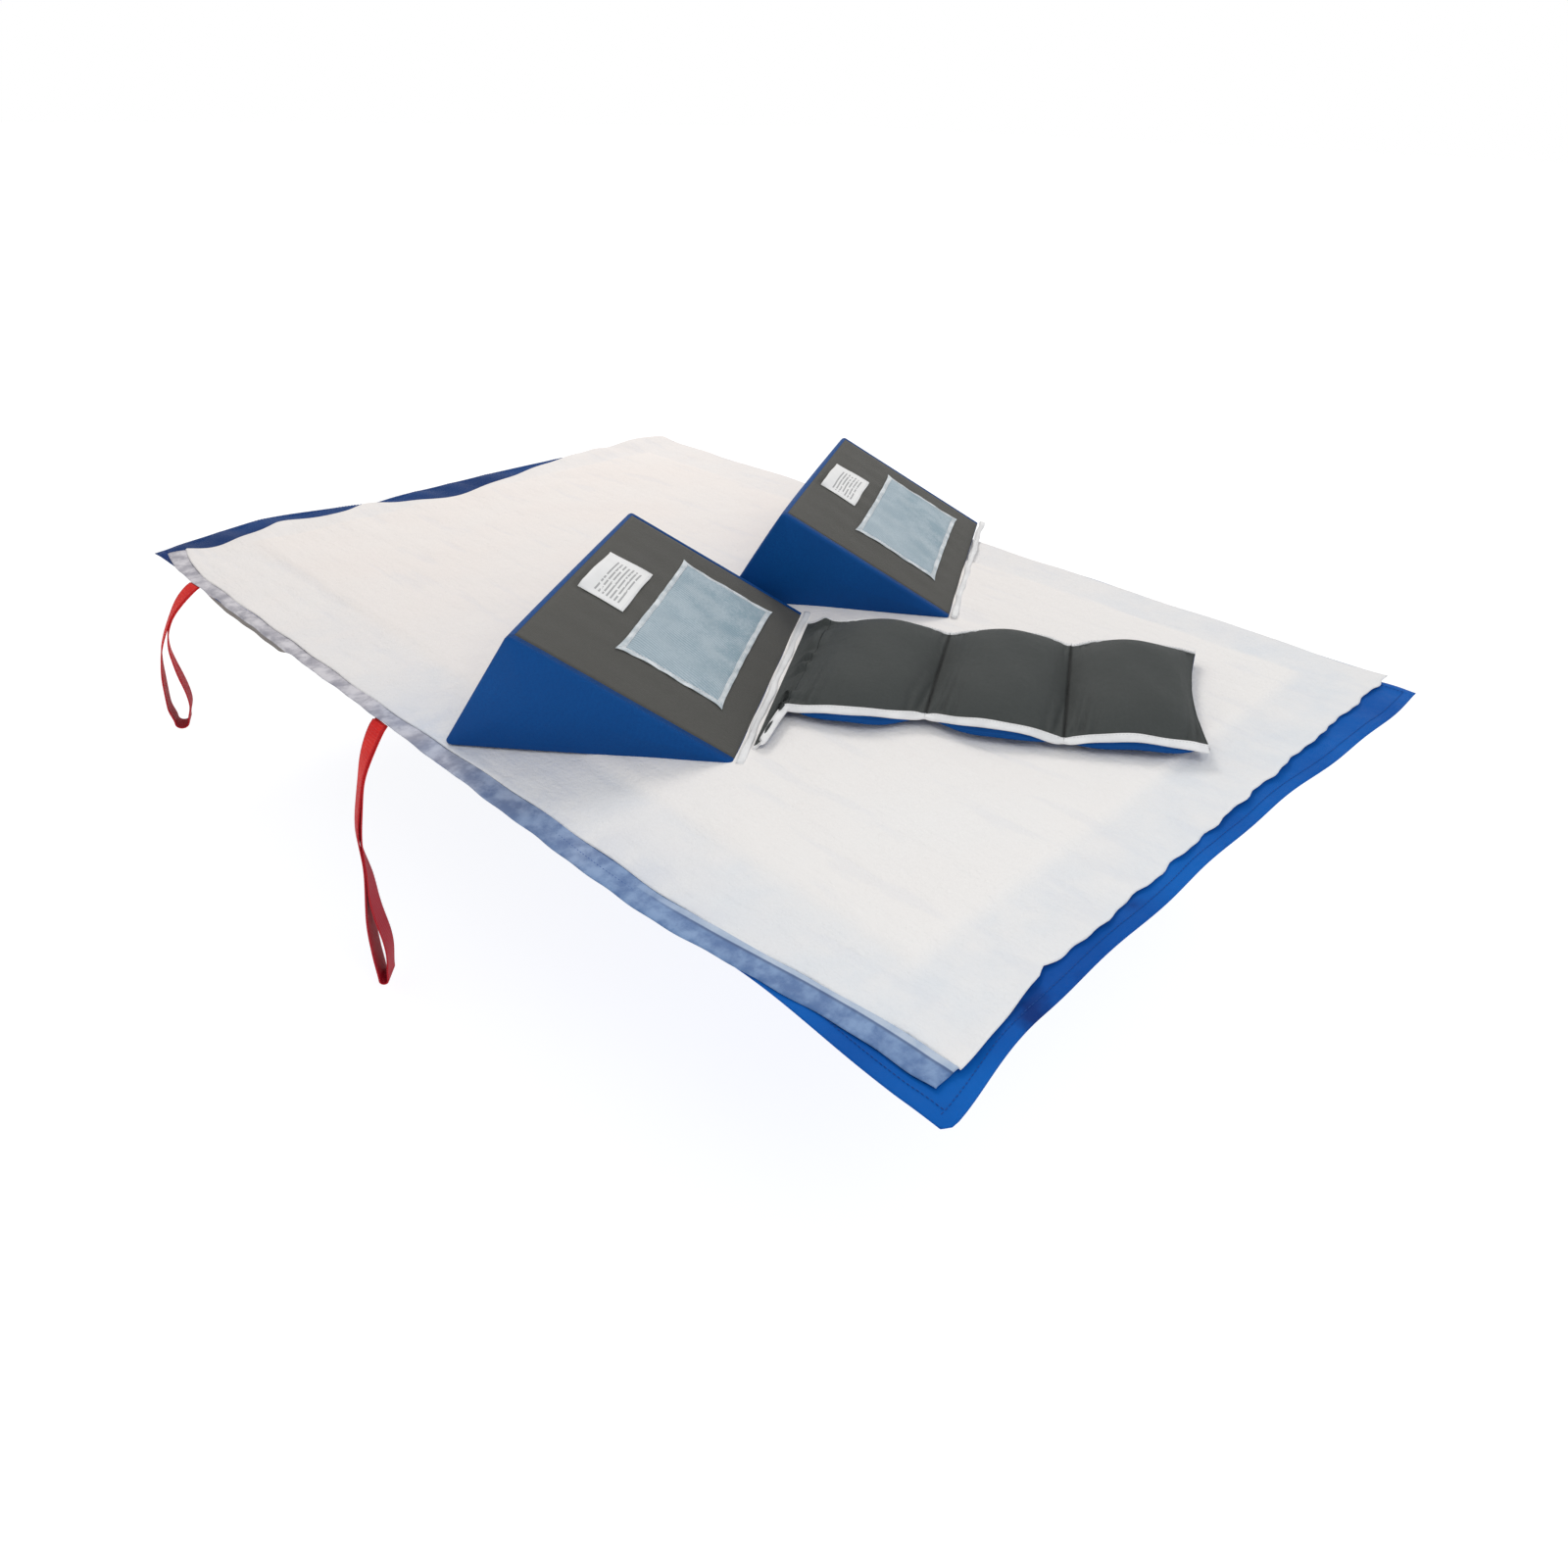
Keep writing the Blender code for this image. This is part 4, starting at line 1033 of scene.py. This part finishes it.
for number, section in enumerate(("inner", "middle", "outer")):
    start = FLANGE + number * PILLOW
    last = 1.0 if section == "outer" else 0.0
    fine = start + PILLOW * (0.5 - 0.5 * np.cos(np.linspace(0, math.pi, 74)))
    fine[0], fine[-1] = start + 0.0001, start + PILLOW - 0.0001
    lines, t = fine, np.concatenate((fine[::2], fine[-1:]))
    if section == "inner":
        lines = np.concatenate((np.linspace(STRIP_START, start, 22)[:-1], lines))
        t = np.concatenate((np.linspace(STRIP_START, start, 30)[:-1], t))
    crosses = 0.5 - 0.5 * np.cos(np.linspace(0, math.pi, 96))
    s, b = np.meshgrid(lines, crosses, indexing="ij")
    near = strip_edge(s, -1, TAPE_WIDTH * 0.55)
    far = strip_edge(s, 1, TAPE_WIDTH * 0.55)
    w = near + (far - near) * b
    lift = pillow_lift(s, b, start)
    gathers = 0.0034 * np.sin(w * 150 + 2 * np.sin(w * 61)) * hump(s, 0.021, 0.011) * (section == "inner")
    gathers = gathers * ease(b / 0.06) * ease((1 - b) / 0.06)
    top = strip_point(s + end_bow(s, b, last), w, 0.0012 + lift + np.abs(gathers) * 1.4 + gathers)
    full = swell((s - start) / PILLOW, 0.5, 2.8)
    belly = hump(b, 0.022, 0.020) * ease(b / 0.010) - hump(b, 0.978, 0.020) * ease((1 - b) / 0.010)
    belly = 0.0150 * belly * full
    drop = PILLOW_CROWN * 0.86 * full * (1 - np.abs(2 * b - 1) ** 12) * (1 + 0.10 * np.sin(s * 60 + b * 7))
    under = strip_point(s + end_bow(s, b, last), w - belly, -0.0012 - drop - np.abs(gathers) * 0.1)
    under[..., 2] = np.maximum(under[..., 2], 0.0003)
    body = f"anchor_{section}"
    lie = grid(s, b * STRIP_WIDTH)
    cloth = net(f"{body}_grey_cloth", placed(top, ANCHOR_PLACE), lie)
    thicken(cloth, CLOTH_THICK, ANCHOR_GREY)
    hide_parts(f"{body}_top_cloth", f"{body}_filling")
    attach(cloth, body)
    below = net(f"{body}_blue_cloth", placed(under, ANCHOR_PLACE), lie, flip=True)
    thicken(below, CLOTH_THICK, CANVAS_BLUE)
    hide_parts(f"{body}_bottom_cloth")
    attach(below, body)

    for label, side in (("near", -1), ("far", 1)):
        edge = strip_edge(t, side, TAPE_WIDTH * 0.45)
        tilt = math.radians(38.0) * ease((t - 0.012) / 0.03)
        tilt = tilt * (1 - 0.9 * hump(t, SEAM_ONE, 0.007) - 0.9 * hump(t, SEAM_TWO, 0.007))
        middle = strip_point(t, edge, 0.0004 * np.sin(t * 120))
        run = np.gradient(middle, axis=0)
        run = run / np.linalg.norm(run, axis=1)[:, None]
        out = grid(run[:, 1] * -side, run[:, 0] * side, 0.0)
        out = out / np.linalg.norm(out, axis=1)[:, None]
        up = np.broadcast_to(np.array((0.0, 0.0, 1.0)), out.shape)
        across = out * np.cos(tilt)[:, None] - up * np.sin(tilt)[:, None]
        over = out * np.sin(tilt)[:, None] + up * np.cos(tilt)[:, None]
        width = TAPE_WIDTH * (0.62 + 0.38 * ease(t / 0.030) + 0.06 * np.sin(t * 90))
        width = width * (1 - 0.12 * hump(t, SEAM_ONE, 0.005))
        binding = tape(f"{body}_{label}_tape", ANCHOR_PLACE, middle, across, over, width, TAPE_HEIGHT)
        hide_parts(f"{body}_{label}_binding")
        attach(binding, body)
        sewn = placed((middle - across * 0.0026 + over * 0.0018)[t > 0.018], ANCHOR_PLACE)
        sew(f"{body}_{label}_tape_stitches", [sewn], body, THREAD_WHITE)


# The pull straps: 25 mm red polyester webbing. Each is one length, folded into a loop whose two ends lie
# together under the sheet's hem, where a boxed cross of stitches holds them; the loop hangs over the edge
# of the bed, turns a little on its way down and opens towards its foot.
WEBBING = 0.025
WEBBING_THICK = 0.0015
PINCH = 0.0012
HEAD_X = -0.5415
HIP_X = -0.035
END_LENGTH = 0.0445
END_THICK = 0.0014
BOX_HALF = 0.0095
BOX_FROM = 0.008
BOX_TO = 0.040
FOOT_FROM = 0.84

WEBBING_RED, shader, start = finish("webbing_red", {"Specular IOR Level": 0.2})
weave = start.thread("X", 0.0024) * start.thread("Y", 0.0030)
edge = start.on_cloth("X")
selvage = edge.step(0.0012, 0.0020) * edge.step(0.0238, 0.0230)
tone = start.noise(30.0, 3.0)
colour = tone.step(0.3, 0.7).mix((0.72, 0.012, 0.010), (0.86, 0.024, 0.012))
# Painted shade: lower down, where the loops hang below the sheet, the webbing is painted a darker red.
colour = start.along("Z").step(-0.03, -0.16).mix(colour, (0.42, 0.006, 0.020))
colour = (weave.step(0.0, 0.4) * 0.25 + 0.75).mix((0.30, 0.004, 0.010), colour)
colour = (selvage * 0.6 + 0.4).mix((0.40, 0.004, 0.010), colour)
paint(shader, colour, 0.62, weave, 0.0005)


def loop_line(length, opening, opens_at):
    """The loop's middle line, flat: down one run, round the narrow foot and up the other."""
    foot = opening * 0.6
    turn_depth = length - foot - WEBBING_THICK / 2
    share = np.linspace(0, 1, 70)
    offset = PINCH + (opening - PINCH) * ease((share - opens_at) / (FOOT_FROM - opens_at))
    offset = offset - (opening - foot) * ease((share - FOOT_FROM) / (1 - FOOT_FROM)) ** 1.4
    down = grid(offset, share * turn_depth)
    angle = np.linspace(0, math.pi, 22)[1:-1]
    turn = grid(foot * np.cos(angle), turn_depth + foot * np.sin(angle))
    return np.concatenate((down, turn, (down * (-1, 1))[::-1]))


# Each strap's place along the sheet, its side, its length, how far it reaches out, how wide it opens, where
# it opens as a share of its length, and how many degrees it has turned at its foot.
for name, x, side, length, reach, opening, opens_at, turned in (
    ("near_head", HEAD_X, -1, 0.182, 0.050, 0.0120, 0.22, 24.0),
    ("near_hip", HIP_X, -1, 0.30, 0.042, 0.0070, 0.60, 40.0),
    ("far_head", HEAD_X, 1, 0.19, 0.002, 0.0095, 0.22, 20.0),
    ("far_hip", HIP_X, 1, 0.30, 0.002, 0.0070, 0.60, 40.0),
):
    line = loop_line(length, opening, opens_at)
    run = run_along(line)
    wide = np.array([-0.5, -0.47, -0.25, 0.0, 0.25, 0.47, 0.5]) * WEBBING
    depth = np.clip(line[:, 1] / length, 0.0, 1.0)
    twist = -np.radians(18.0 * ease(depth / 0.20) + (turned - 18.0) * ease((depth - 0.42) / 0.22))
    most = reach * np.sin(math.pi / 2 * np.minimum(depth / 0.45, 1.0) ** 0.8)
    seat = PINCH + WEBBING_THICK / 2
    soft = 0.0008 * np.sin(run * 70.0 + x * 9.0) * ease(depth / 0.2) * (side < 0)
    offset, span = np.broadcast_arrays((line[:, 0] + soft)[:, None], wide[None, :])
    turn_cos, turn_sin = np.cos(twist)[:, None], np.sin(twist)[:, None]
    east = span * turn_cos + offset * turn_sin
    outward = offset * turn_cos - span * turn_sin + most[:, None] - seat
    hinge_y = side * (SHEET_WIDTH / 2 + 0.0003 + 2 * seat)
    points = grid(x + east, hinge_y + side * outward, SHEET_TOP / 2 - line[:, 1][:, None])
    loop = net(f"pull_strap_{name}_webbing", points, grid(span + WEBBING / 2, run[:, None]), flip=side > 0)
    strap = thicken(loop, WEBBING_THICK, WEBBING_RED, 0.0)
    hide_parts(f"pull_strap_{name}")
    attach(strap, f"strap_{name}")

    a, b = np.meshgrid(np.linspace(-0.5, 0.5, 7), np.linspace(0, 1, 24), indexing="ij")
    y = side * (SHEET_WIDTH / 2 - 0.0005 - END_LENGTH * b)
    points = grid(x + a * WEBBING, y, -0.0002)
    lie = grid((a + 0.5) * WEBBING, b * 0.045)
    end = thicken(net(f"strap_end_{name}_webbing", points, lie, flip=side < 0), END_THICK, WEBBING_RED)
    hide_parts(f"strap_end_{name}")
    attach(end, "sheet")
    t = np.linspace(0, 1, 30)
    left, right = x - BOX_HALF, x + BOX_HALF
    start_y, end_y = side * (SHEET_WIDTH / 2 - BOX_FROM), side * (SHEET_WIDTH / 2 - BOX_TO)
    box = []
    for one, two in (
        ((left, start_y), (right, start_y)), ((right, start_y), (right, end_y)),
        ((right, end_y), (left, end_y)), ((left, end_y), (left, start_y)),
        ((left, start_y), (right, end_y)), ((right, start_y), (left, end_y)),
    ):
        box.append(grid(one[0] + (two[0] - one[0]) * t, one[1] + (two[1] - one[1]) * t, -0.0017))
    sew(f"strap_end_{name}_stitches", box, "sheet", THREAD_RED, 0.0030)


bpy.context.view_layer.update()
plain = [[[float(v) for v in corner] for corner in box] for box in (CAD_BOX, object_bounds())]
